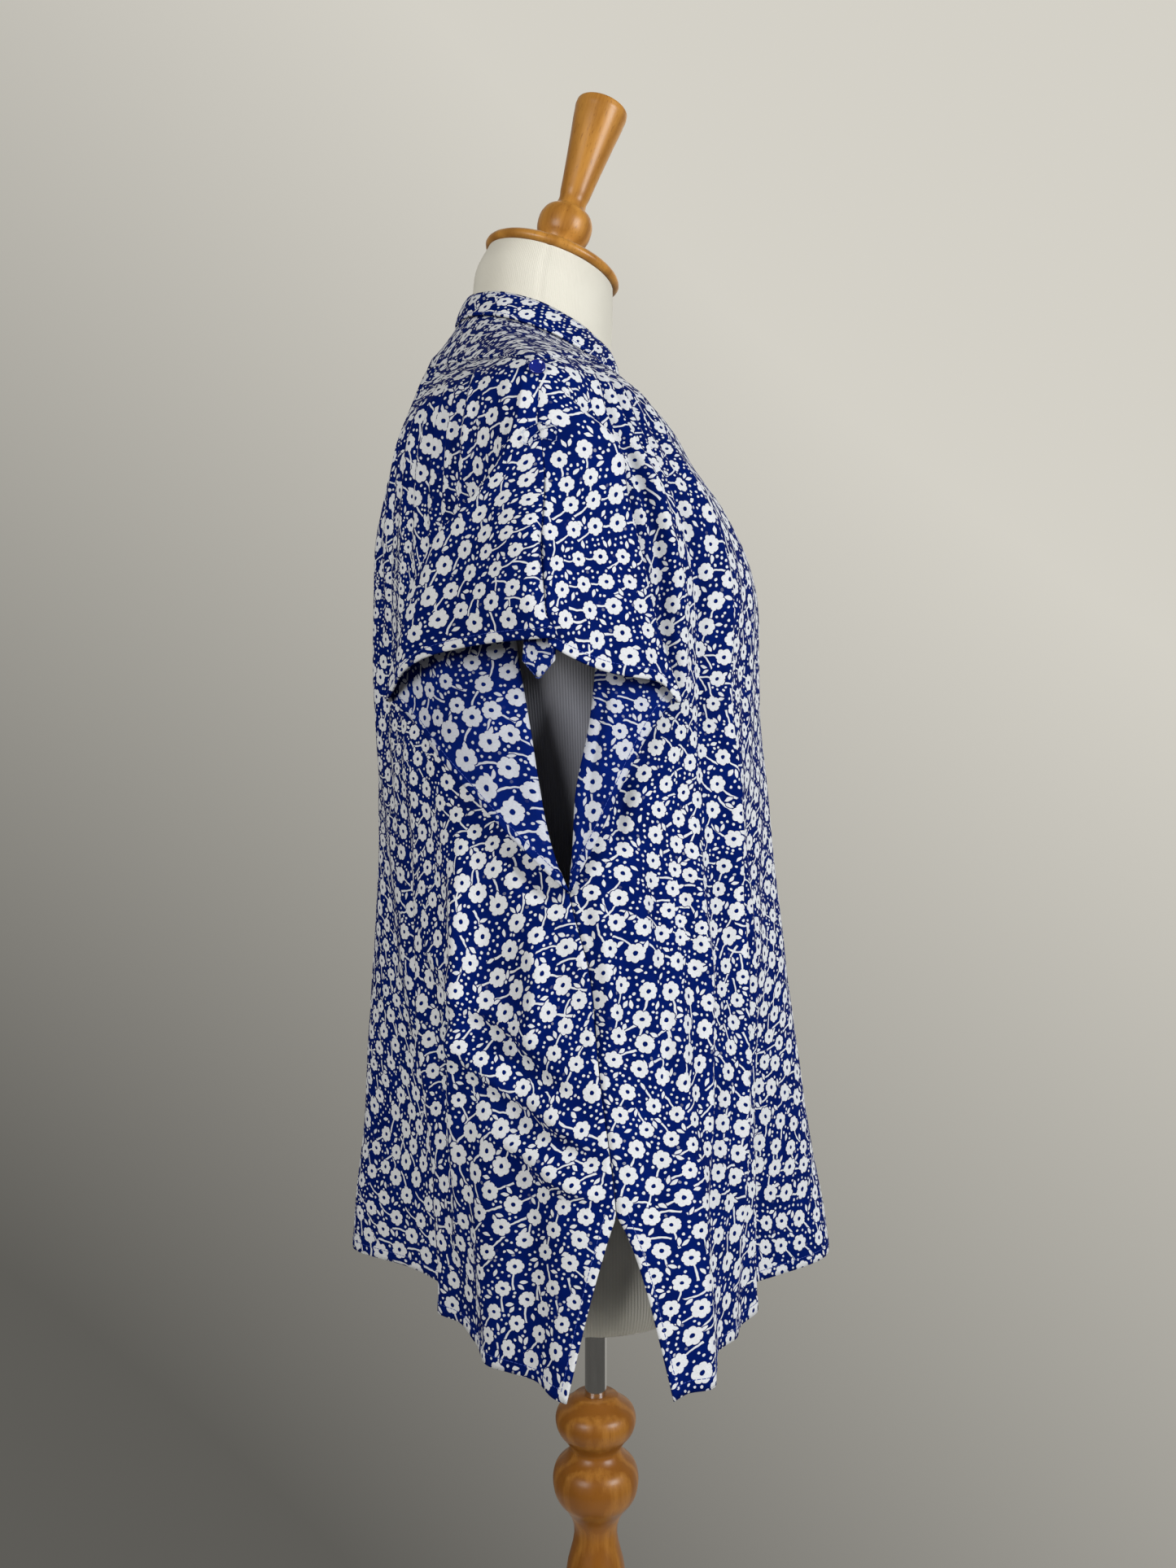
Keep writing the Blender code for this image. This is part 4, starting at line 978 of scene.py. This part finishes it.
class Recipe:
    """Nodes of one finish or node group, written as short sums."""

    def __init__(self, tree):
        self.tree = tree

    def feed(self, node, inputs):
        """Link or set a node's inputs by their names or numbers."""
        for name, value in inputs.items():
            if isinstance(value, bpy.types.NodeSocket):
                self.tree.links.new(value, node.inputs[name])
            else:
                node.inputs[name].default_value = value

    def node(self, kind, inputs=None, **settings):
        made = self.tree.nodes.new(kind)
        for name, value in settings.items():
            setattr(made, name, value)
        self.feed(made, inputs or {})
        return made

    def sum(self, operation, a, b=0.0, c=0.0):
        return self.node("ShaderNodeMath", {0: a, 1: b, 2: c}, operation=operation).outputs[0]

    def vector(self, operation, a, b=None, scale=None):
        inputs = {0: a}
        if b is not None:
            inputs[1] = b
        if scale is not None:
            inputs["Scale"] = scale
        made = self.node("ShaderNodeVectorMath", inputs, operation=operation)
        return made.outputs["Value" if operation == "LENGTH" else "Vector"]

    def split(self, value):
        return self.node("ShaderNodeSeparateXYZ", {0: value}).outputs

    def flattened(self, value):
        parts = self.split(value)
        return self.node("ShaderNodeCombineXYZ", {0: parts[0], 1: parts[1]}).outputs[0]

    def turned(self, value, angle, axis="Z_AXIS"):
        return self.node("ShaderNodeVectorRotate", {"Vector": value, "Angle": angle},
                         rotation_type=axis).outputs[0]

    def soft_step(self, value, low, high):
        return self.node("ShaderNodeMapRange", {"Value": value, "From Min": low, "From Max": high},
                         interpolation_type="SMOOTHSTEP").outputs["Result"]

    def blend(self, share, a, b, kind="RGBA"):
        return self.node("ShaderNodeMix", {"Factor": share, "A": a, "B": b},
                         data_type=kind).outputs["Result"]

    def noise(self, where, scale, detail=2.0, roughness=0.5):
        return self.node("ShaderNodeTexNoise", {"Vector": where, "Scale": scale, "Detail": detail,
                                                "Roughness": roughness}).outputs["Fac"]

    def scattered(self, cell, jitter):
        """The nearest of many places on a loose square lattice, one to a unit."""
        inputs = {"Vector": cell, "Scale": 1.0, "Randomness": jitter}
        return self.node("ShaderNodeTexVoronoi", inputs, voronoi_dimensions="2D", feature="F1").outputs

    def bump(self, height, strength, distance, **under):
        """A relief of a height, laid over another relief where one is given as Normal."""
        return self.node("ShaderNodeBump", {"Strength": strength, "Distance": distance,
                                            "Height": height, **under}).outputs["Normal"]

    def on_piece(self):
        return self.node("ShaderNodeTexCoord").outputs["Object"]

    def group(self, tree, **inputs):
        return self.node("ShaderNodeGroup", inputs, node_tree=tree).outputs


def new_group(name, inputs, outputs):
    """An empty node group with vector inputs and number outputs."""
    tree = bpy.data.node_groups.new(name, "ShaderNodeTree")
    for word in inputs:
        tree.interface.new_socket(word, in_out="INPUT", socket_type="NodeSocketVector")
    for word in outputs:
        tree.interface.new_socket(word, in_out="OUTPUT", socket_type="NodeSocketFloat")
    r = Recipe(tree)
    return tree, r, r.node("NodeGroupInput").outputs, r.node("NodeGroupOutput")


def spun_about(r, cell, jitter, pitch):
    """The way in millimetres from the nearest scattered place, as it is and turned by chance,
    with that place's three chances."""
    nearest = r.scattered(cell, jitter)
    chance = r.split(nearest["Color"])
    offset = r.vector("SUBTRACT", cell, nearest["Position"])
    flat = r.flattened(r.vector("SCALE", offset, scale=pitch))
    return flat, r.turned(flat, r.sum("MULTIPLY", chance[0], 2 * math.pi)), chance


def sprig_group():
    """Distances in millimetres to one flower and its stem, round jittered places."""
    tree, r, start, end = new_group("sprig", ("Place", "Shift"), ("Flower", "Stem", "Centre"))
    cell = r.vector("SCALE", start["Place"], scale=1.0 / FLOWER_PITCH)
    cell = r.vector("ADD", cell, start["Shift"])
    flat, own, chance = spun_about(r, cell, FLOWER_JITTER, FLOWER_PITCH)
    own = r.split(own)
    size = r.sum("MULTIPLY_ADD", chance[1], FLOWER_SIZE_RANGE, FLOWER_LEAST_SIZE)
    radius = r.sum("DIVIDE", r.vector("LENGTH", flat), size)
    angle = r.sum("ARCTAN2", own[1], own[0])
    petal = r.sum("ABSOLUTE", r.sum("COSINE", r.sum("MULTIPLY", angle, PETAL_TURNS)))
    petal = r.sum("POWER", petal, PETAL_ROUNDNESS)
    edge = r.sum("MULTIPLY_ADD", petal, PETAL_DEPTH, FLOWER_RADIUS)
    bend = r.sum("MULTIPLY_ADD", chance[2], 2.0 * STEM_BEND, -STEM_BEND)
    along = r.sum("SUBTRACT", own[0], FLOWER_RADIUS)
    curve = r.sum("MULTIPLY", r.sum("MULTIPLY", along, along), bend)
    across = r.sum("ABSOLUTE", r.sum("SUBTRACT", own[1], curve))
    stem = r.sum("SUBTRACT", across, r.sum("MULTIPLY_ADD", along, STEM_WIDENING, STEM_HALF_WIDTH))
    length = r.sum("MULTIPLY_ADD", chance[1], STEM_LENGTH_RANGE, STEM_END)
    stem = r.sum("MAXIMUM", stem, r.sum("SUBTRACT", own[0], length))
    stem = r.sum("MAXIMUM", stem, r.sum("SUBTRACT", FLOWER_RADIUS - STEM_OVERLAP, own[0]))
    r.feed(end, {"Flower": r.sum("SUBTRACT", radius, edge), "Stem": stem,
                 "Centre": r.sum("SUBTRACT", radius, FLOWER_CENTRE)})
    return tree


def leaf_shape(r, place_mm, spot, lean):
    """Distance in millimetres to one pointed leaf at a spot near the middle of its place."""
    leaf = r.split(r.turned(r.vector("SUBTRACT", place_mm, spot), -lean))
    share = r.sum("DIVIDE", leaf[0], LEAF_HALF_LENGTH)
    bowed = r.sum("MULTIPLY", share, share)
    width = r.sum("MULTIPLY_ADD", bowed, -LEAF_HALF_WIDTH, LEAF_HALF_WIDTH)
    shape = r.sum("SUBTRACT", r.sum("ABSOLUTE", leaf[1]), width)
    return r.sum("MAXIMUM", shape, r.sum("SUBTRACT", r.sum("ABSOLUTE", leaf[0]), LEAF_HALF_LENGTH))


def leaves_between(r, place_mm):
    """Distance in millimetres to the leaves, one or two in each space between four flowers."""
    pitch = FLOWER_PITCH / 2.0
    cell = r.vector("ADD", r.vector("SCALE", place_mm, scale=1.0 / pitch), (0.5, 0.5, 0.0))
    _, own, chance = spun_about(r, cell, LEAF_JITTER, pitch)
    first, second = (leaf_shape(r, own, leaf.spot, leaf.lean) for leaf in LEAVES)
    left_out = r.sum("MULTIPLY", r.sum("GREATER_THAN", chance[1], 0.5), LEAF_OUT_OF_REACH)
    return r.sum("MINIMUM", first, r.sum("ADD", second, left_out))


def print_shapes_group():
    """Distances in millimetres to all that is white but the dots, and to the flowers' centres."""
    sprig = sprig_group()
    field, r, start, end = new_group("print shapes", ("Place",), ("White", "Centre"))
    layers = [r.group(sprig, Place=start["Place"], Shift=shift) for shift in SPRIG_SHIFTS]
    leaves = leaves_between(r, start["Place"])
    white = leaves
    centre = layers[0]["Centre"]
    for layer in layers:
        others = [other["Flower"] for other in layers if other is not layer]
        nearest = r.sum("MINIMUM", r.sum("MINIMUM", others[0], others[1]),
                        r.sum("MINIMUM", others[2], leaves))
        stem = r.sum("MAXIMUM", layer["Stem"], r.sum("SUBTRACT", STEM_CLEARANCE, nearest))
        white = r.sum("MINIMUM", white, r.sum("MINIMUM", stem, layer["Flower"]))
        centre = r.sum("MINIMUM", centre, layer["Centre"])
    r.feed(end, {"White": white, "Centre": centre})
    return field


def print_group():
    """The ditsy flower print: how white a place of the cloth is, from its flat place in metres."""
    field = print_shapes_group()
    tree, r, start, end = new_group("ditsy flowers", ("Place",), ("White",))
    place_mm = r.vector("SCALE", r.turned(start["Place"], LAYOUT_TILT), scale=1000.0)
    drawn = place_mm
    for scale, reach in ((HAND_DRAWN_SCALE, HAND_DRAWN_REACH), (LAYOUT_DRIFT_SCALE, LAYOUT_DRIFT)):
        wobble = r.node("ShaderNodeTexNoise", {"Vector": place_mm, "Scale": scale, "Detail": 0.0},
                        noise_dimensions="2D").outputs["Color"]
        off_centre = r.vector("SUBTRACT", wobble, (0.5, 0.5, 0.5))
        drawn = r.vector("ADD", drawn, r.vector("SCALE", off_centre, scale=reach))
    shapes = r.group(field, Place=drawn)
    dots = r.scattered(r.vector("SCALE", drawn, scale=1.0 / DOT_PITCH), DOT_JITTER)
    round_it = r.group(field, Place=r.vector("SCALE", dots["Position"], scale=DOT_PITCH))
    dot = r.sum("SUBTRACT", r.sum("MULTIPLY", dots["Distance"], DOT_PITCH), DOT_RADIUS)
    dot = r.sum("MAXIMUM", dot, r.sum("SUBTRACT", DOT_CLEARANCE, round_it["White"]))
    shown = r.soft_step(r.sum("MINIMUM", shapes["White"], dot), INK_EDGE, -INK_EDGE)
    middle = r.soft_step(shapes["Centre"], INK_EDGE, -INK_EDGE)
    r.feed(end, {"White": r.sum("MULTIPLY", shown, r.sum("SUBTRACT", 1.0, middle))})
    return tree


def dimmed(colour, share):
    return tuple(share * part for part in colour[:3]) + (1.0,)


def new_finish(name):
    finish = bpy.data.materials.new(name)
    finish.use_nodes = True
    return finish, Recipe(finish.node_tree), finish.node_tree.nodes["Principled BSDF"]


def printed_cloth(name, printed, blue, white, strength):
    """Printed crepe: the print, a slight unevenness of the dye and a fine pebbled weave."""
    finish, r, shader = new_finish(name)
    places = r.node("ShaderNodeUVMap", uv_map="cloth").outputs["UV"]
    dye = r.noise(places, 55.0, 3.0)
    ground = r.blend(r.soft_step(dye, 0.3, 0.7), dimmed(blue, 0.78), blue)
    ink = r.blend(r.soft_step(r.noise(places, 900.0, 2.0), 0.2, 0.8), dimmed(white, 0.88), white)
    cover = r.sum("MULTIPLY", r.group(printed, Place=places)["White"], strength)
    threads = r.split(r.vector("SCALE", places, scale=2 * math.pi / THREAD_PITCH))
    weave = r.sum("MULTIPLY", r.sum("SINE", threads[0]), r.sum("SINE", threads[1]))
    pebble = r.sum("ADD", r.sum("MULTIPLY", weave, 0.25), r.noise(places, 1500.0, 3.0, 0.6))
    fine = r.bump(pebble, 0.35, PEBBLE_RELIEF)
    crush = r.noise(places, 60.0, 4.0, 0.55)
    r.feed(shader, {"Base Color": r.blend(cover, ground, ink),
                    "Roughness": r.sum("MULTIPLY_ADD", dye, 0.16, 0.62),
                    "Specular IOR Level": 0.02,
                    "Normal": r.bump(crush, 0.5, CRUSH_RELIEF, Normal=fine)})
    return finish


def button_resin():
    finish, r, shader = new_finish("royal blue button")
    spots = r.noise(r.on_piece(), 900.0, 3.0)
    r.feed(shader, {"Base Color": r.blend(spots, *BUTTON_BLUES),
                    "Roughness": r.sum("MULTIPLY_ADD", spots, 0.08, 0.06),
                    "Coat Weight": 1.0})
    return finish


def sewing_thread(name, colour):
    finish, r, shader = new_finish(name)
    twist = r.noise(r.on_piece(), 2500.0, 2.0)
    r.feed(shader, {"Base Color": r.blend(twist, colour, dimmed(colour, 0.7)),
                    "Roughness": r.sum("MULTIPLY_ADD", twist, 0.2, 0.5)})
    return finish


def ribbed_jersey():
    """Cream jersey with upright ribs and a slight painted shade along them, a dark grey painted shade
    on the body where the blouse shades it, and painted light, paler than the cream, at its foot.
    """
    finish, r, shader = new_finish("cream ribbed jersey")
    where = r.on_piece()
    parts = r.split(where)
    angle = r.sum("ARCTAN2", parts[1], parts[0])
    ribs = r.sum("SINE", r.sum("MULTIPLY", angle, RIBS_ROUND_THE_FORM))
    soil = r.noise(where, 9.0, 4.0)
    cream = r.blend(r.soft_step(soil, 0.35, 0.75), JERSEY_CREAM, JERSEY_SOILED)
    # Painted light at the foot and painted shade on the body, both by height; the cream stays above
    # them
    foot = r.soft_step(parts[2], JERSEY_PAINTED_LIGHT_BELOW + 0.10, JERSEY_PAINTED_LIGHT_BELOW)
    clear_of_painted_shade = r.soft_step(parts[2], JERSEY_PAINTED_SHADE_BELOW, JERSEY_PAINTED_SHADE_BELOW + 0.2)
    cream_with_painted_shade_and_light = r.blend(clear_of_painted_shade, r.blend(foot, JERSEY_PAINTED_SHADE, JERSEY_PAINTED_LIGHT_AT_FOOT), cream)
    knit = r.sum("ADD", r.sum("MULTIPLY", ribs, 0.6), r.noise(where, 1400.0, 2.0))
    # Painted shade along the ribs
    shade = r.sum("MULTIPLY_ADD", ribs, 0.04, 0.96)
    r.feed(shader, {"Base Color": r.vector("SCALE", cream_with_painted_shade_and_light, scale=shade),
                    "Roughness": r.sum("MULTIPLY_ADD", soil, 0.1, 0.82),
                    "Sheen Weight": 0.15,
                    "Normal": r.bump(knit, 0.45, RIB_RELIEF)})
    return finish


def turned_wood(name, tilt, painted_light_level):
    """Satin honey-brown wood: long grain along the turning axis, year rings and darker pores; a
    positive painted light level makes the whole piece lighter as painted light, a negative one darker
    as painted shade.
    """
    finish, r, shader = new_finish(name)
    upright = r.turned(r.on_piece(), -tilt, "X_AXIS")
    stretched = r.vector("MULTIPLY", upright, (1.0, 1.0, 0.06))
    drift = r.noise(stretched, 14.0, 3.0)
    year = r.sum("MULTIPLY", r.split(stretched)[0], 420.0)
    rings = r.sum("SINE", r.sum("MULTIPLY_ADD", drift, 26.0, year))
    fibre = r.noise(stretched, 260.0, 4.0, 0.65)
    pores = r.noise(r.vector("MULTIPLY", upright, (1.0, 1.0, 0.16)), 900.0, 2.0)
    # The painted light level shifts the tone of the whole piece, as painted light and shade
    tone = r.sum("MULTIPLY_ADD", rings, 0.20, r.sum("MULTIPLY_ADD", fibre, 0.7, painted_light_level))
    fleck = r.sum("MULTIPLY", r.soft_step(pores, 0.60, 0.72), 0.5)
    r.feed(shader, {"Base Color": r.blend(fleck, r.blend(tone, WOOD_DARK, WOOD_PALE), WOOD_PORE),
                    "Roughness": r.sum("MULTIPLY_ADD", fibre, 0.22, 0.26),
                    "Specular IOR Level": 0.22,
                    "Coat Weight": 0.08,
                    "Coat Roughness": 0.22,
                    "Normal": r.bump(fibre, 0.25, GRAIN_RELIEF)})
    return finish


def polished_chrome():
    finish, r, shader = new_finish("polished chrome")
    rub = r.noise(r.vector("MULTIPLY", r.on_piece(), (1.0, 1.0, 0.1)), 300.0, 4.0)
    r.feed(shader, {"Base Color": r.blend(rub, *CHROME_GREYS),
                    "Roughness": r.sum("MULTIPLY_ADD", rub, 0.14, 0.07),
                    "Metallic": 1.0})
    return finish


def pale_floor():
    finish, r, shader = new_finish("pale floor")
    specks = r.noise(r.on_piece(), 40.0, 3.0)
    r.feed(shader, {"Base Color": r.blend(specks, *FLOOR_GREYS),
                    "Roughness": r.sum("MULTIPLY_ADD", specks, 0.1, 0.7)})
    return finish


def stitch_tree(thread):
    """Geometry Nodes: a row of short stitches along a line."""
    tree = bpy.data.node_groups.new("topstitching", "GeometryNodeTree")
    face = tree.interface
    face.new_socket("Line", in_out="INPUT", socket_type="NodeSocketGeometry")
    for name, value in STITCH_SIZES.items():
        face.new_socket(name, in_out="INPUT", socket_type="NodeSocketFloat").default_value = value
    face.new_socket("Stitches", in_out="OUTPUT", socket_type="NodeSocketGeometry")
    r = Recipe(tree)
    start = r.node("NodeGroupInput").outputs
    curve = r.node("GeometryNodeMeshToCurve", {"Mesh": start["Line"]}).outputs["Curve"]
    spaced = r.node("GeometryNodeResampleCurve", {"Curve": curve, "Length": start["Stitch Pitch"]},
                    mode="LENGTH").outputs["Curve"]
    keep = r.node("GeometryNodeCaptureAttribute")
    keep.capture_items.new("VECTOR", "way")
    r.feed(keep, {"Geometry": spaced, "way": r.node("GeometryNodeInputTangent").outputs[0]})
    points = r.node("GeometryNodeCurveToPoints", {"Curve": keep.outputs["Geometry"]},
                    mode="EVALUATED")
    turn = r.node("FunctionNodeAlignEulerToVector", {"Vector": keep.outputs["way"]}, axis="Z")
    stitch = r.node("GeometryNodeMeshCylinder", {"Vertices": 5, "Depth": start["Stitch Length"],
                                                 "Radius": start["Thread Radius"]})
    copies = r.node("GeometryNodeInstanceOnPoints", {"Points": points.outputs["Points"],
                                                     "Instance": stitch.outputs["Mesh"],
                                                     "Rotation": turn.outputs["Rotation"]})
    real = r.node("GeometryNodeRealizeInstances", {"Geometry": copies.outputs["Instances"]})
    dyed = r.node("GeometryNodeSetMaterial", {"Geometry": real.outputs["Geometry"],
                                              "Material": thread})
    r.node("NodeGroupOutput", {"Stitches": dyed.outputs["Geometry"]})
    return tree


def set_input(modifier, name, value):
    for item in modifier.node_group.interface.items_tree:
        if item.item_type == "SOCKET" and item.in_out == "INPUT" and item.name == name:
            modifier[item.identifier] = value


def sew_lines(name, lines, tree, thread):
    """Topstitching along several lines of points, as one plain mesh."""
    points, edges = [], []
    for line in lines:
        base = len(points)
        points += [tuple(point) for point in line]
        edges += [(base + k, base + k + 1) for k in range(len(line) - 1)]
    mesh = bpy.data.meshes.new(name)
    mesh.from_pydata(points, edges, [])
    item = place(name, mesh, thread)
    sewing = item.modifiers.new("topstitching", "NODES")
    sewing.node_group = tree
    for word, value in STITCH_SIZES.items():
        set_input(sewing, word, value)
    return settle(item)


def lifted(points, amount):
    """Points of a grid moved off the cloth along its own normals."""
    down = np.gradient(points, axis=0)
    across = np.gradient(points, axis=1)
    normal = np.cross(down, across)
    normal /= np.maximum(np.linalg.norm(normal, axis=-1, keepdims=True), 1e-12)
    return points + normal * amount


def both_sides(points, at):
    """The right and wrong side of one row or column of stitches on a grid."""
    half = CLOTH_THICKNESS / 2.0
    return [lifted(points, half)[at], lifted(points, -half)[at]]


def panel_stitches(edges):
    """Hem, slit and sleeve hem stitching of both halves of a panel."""
    lines = []
    for side in (RIGHT, LEFT):
        skirt, sleeve = edges[side]["skirt"], edges[side]["sleeve"]
        slit = int(LOWER_STEPS * (UNDERARM_HEIGHT - SLIT_TOP) / (UNDERARM_HEIGHT - HEM_SIDE))
        lines += both_sides(skirt, (-3, slice(0, BODY_STEPS - 2)))
        lines += both_sides(skirt, (slice(slit, LOWER_STEPS - 1), -3))
        lines += both_sides(sleeve, (-4, slice(1, SLEEVE_STEPS)))
    return lines


def make_lights():
    for row in LAMPS:
        lamp = bpy.data.lights.new(row.name, "AREA")
        lamp.size, lamp.energy, lamp.color = row.size, row.power, row.colour
        item = place(row.name, lamp)
        item.location = row.where
        aim = Vector(LAMP_AIM) - Vector(row.where)
        item.rotation_euler = aim.to_track_quat("-Z", "Y").to_euler()


def make_room():
    """A warm grey surround, lighter upwards and to the front, dimmer outside the camera's view,
    and a round pale floor."""
    world = bpy.data.worlds.new("studio")
    bpy.context.scene.world = world
    world.use_nodes = True
    r = Recipe(world.node_tree)
    parts = r.split(r.node("ShaderNodeTexCoord").outputs["Generated"])
    level = r.sum("MULTIPLY_ADD", parts[1], -0.42, r.sum("MULTIPLY_ADD", parts[2], 0.52, 0.44))
    level = r.sum("MINIMUM", r.sum("MAXIMUM", level, 0.11), 0.66)
    strength = r.blend(r.soft_step(parts[0], 0.2, 0.75), AMBIENT, level, "FLOAT")
    r.feed(world.node_tree.nodes["Background"], {"Color": SURROUND_TINT, "Strength": strength})
    bpy.context.scene.view_settings.view_transform = "Standard"
    rim = [(FLOOR_RADIUS * math.cos(a), FLOOR_RADIUS * math.sin(a), -FLOOR_DROP)
           for a in np.linspace(0.0, 2 * math.pi, FLOOR_SIDES, endpoint=False)]
    mesh = bpy.data.meshes.new("floor")
    mesh.from_pydata(rim, [], [list(range(FLOOR_SIDES))])
    mesh.update()
    floor = place("floor", mesh, pale_floor())


def make_camera():
    eye = bpy.data.cameras.new("photo camera")
    eye.lens = FOCAL_PIXELS * SENSOR_MM / PHOTO_HEIGHT
    eye.clip_start = 0.02
    item = place("photo camera", eye)
    item.location = CAMERA_PLACE
    item.rotation_euler = (math.radians(90), 0.0, math.radians(-90))
    bpy.context.scene.camera = item


def finished(item, slot, *nodes):
    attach(item, "root")
    if nodes:
        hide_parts(*nodes)
    return item


def dress_form_pieces():
    # One wood in two copies: darker painted shade for the upright column and base, lighter painted
    # light for the neck's cap and grip
    upright_wood_painted_shade = turned_wood("honey turned wood", 0.0, -0.32)
    neck_wood_painted_light = turned_wood("honey turned wood of the neck", NECK_TILT, 0.22)
    upright = ((0.0, 0.0, 0.0), 0.0)
    leaning = (NECK_TOP, NECK_TILT)
    finished(pad_form("dress_form_body", ribbed_jersey()), "form_jersey", "form_torso")
    for name, node, profile, stance, wood, fineness in (
            ("neck_cap", "neck_disc", DISC_PROFILE, leaning, neck_wood_painted_light, {"steps": 2}),
            ("neck_grip", "neck_handle", HANDLE_PROFILE, leaning, neck_wood_painted_light, {}),
            ("turned_column", "stand_column", COLUMN_PROFILE, upright, upright_wood_painted_shade, {}),
            ("round_base", "stand_base", BASE_PROFILE, upright, upright_wood_painted_shade,
             {"steps": 1, "sides": 128})):
        finished(turn_wood(name, profile, *stance, wood, **fineness), "turned_wood", node)
    finished(turn_wood("chrome_pole", POLE_PROFILE, *upright, polished_chrome(), steps=1),
             "pole_chrome", "pole")


def stitched(name, lines, thread):
    """Stitches in a thread, given with its node tree."""
    return finished(sew_lines(name, lines, *thread), "printed_cloth")


def roll_tab(side, word, cloth, thread, pale_thread):
    """One roll tab with its edge stitching and the sewn box that holds it."""
    tab = finished(sew_tab("roll_tab_" + word, side, cloth), "printed_cloth", "sleeve_tab_" + word)
    inner = tab_grid(side, TAB_STITCH_INSET)
    line = np.concatenate([inner[:, 0], inner[-1, 1:], inner[::-1, -1][1:]])
    outward = np.array([side * (TAB_THICKNESS / 2.0), 0.0, 0.0])
    return tab, [stitched("roll_tab_stitching_" + word, [line + outward, line - outward], thread),
                 stitched("roll_tab_box_" + word, [box_path(side)], pale_thread)]


def blouse_pieces():
    printed = print_group()
    cloth = (printed_cloth("printed crepe", printed, RIGHT_SIDE_BLUE, RIGHT_SIDE_WHITE, 1.0),
             printed_cloth("printed crepe wrong side", printed, WRONG_SIDE_BLUE, WRONG_SIDE_WHITE,
                           WRONG_SIDE_COVER))
    thread = sewing_thread("royal blue thread", THREAD_BLUE)
    thread = (stitch_tree(thread), thread)
    pale_thread = sewing_thread("pale blue thread", THREAD_PALE_BLUE)
    pale_thread = (stitch_tree(pale_thread), pale_thread)
    stitches = {}
    pieces = {}
    for name, panel in (("back", BACK), ("front", FRONT)):
        item, edges = sew_panel(name + "_cloth", panel, cloth)
        pieces[name] = finished(item, "printed_cloth", name + "_panel")
        stitches[name] = stitched(name + "_stitching", panel_stitches(edges), thread)
    item, seams = sew_yoke("yoke_cloth", cloth)
    pieces["yoke"] = finished(item, "printed_cloth", "yoke")
    stitches["yoke"] = stitched("yoke_stitching", [seams[RIGHT], seams[LEFT]], thread)
    item, rows = sew_collar("collar_cloth", cloth)
    pieces["collar"] = finished(item, "printed_cloth", "collar_stand")
    lines = []
    for side in (RIGHT, LEFT):
        out = lifted(rows[side], side * COLLAR_THICKNESS / 2.0)
        lines += [out[1], out[-2]]
    stitches["collar"] = stitched("collar_stitching", lines, thread)
    for side, word in ((RIGHT, "right"), (LEFT, "left")):
        tab = "tab_" + word
        pieces[tab], stitches[tab] = roll_tab(side, word, cloth, thread, pale_thread)
        finished(make_button("button_" + word, side, button_resin()), "button_resin",
                 "shoulder_button_" + word)


def main():
    make_room()
    make_lights()
    make_camera()
    dress_form_pieces()
    blouse_pieces()
    bpy.context.view_layer.update()


main()
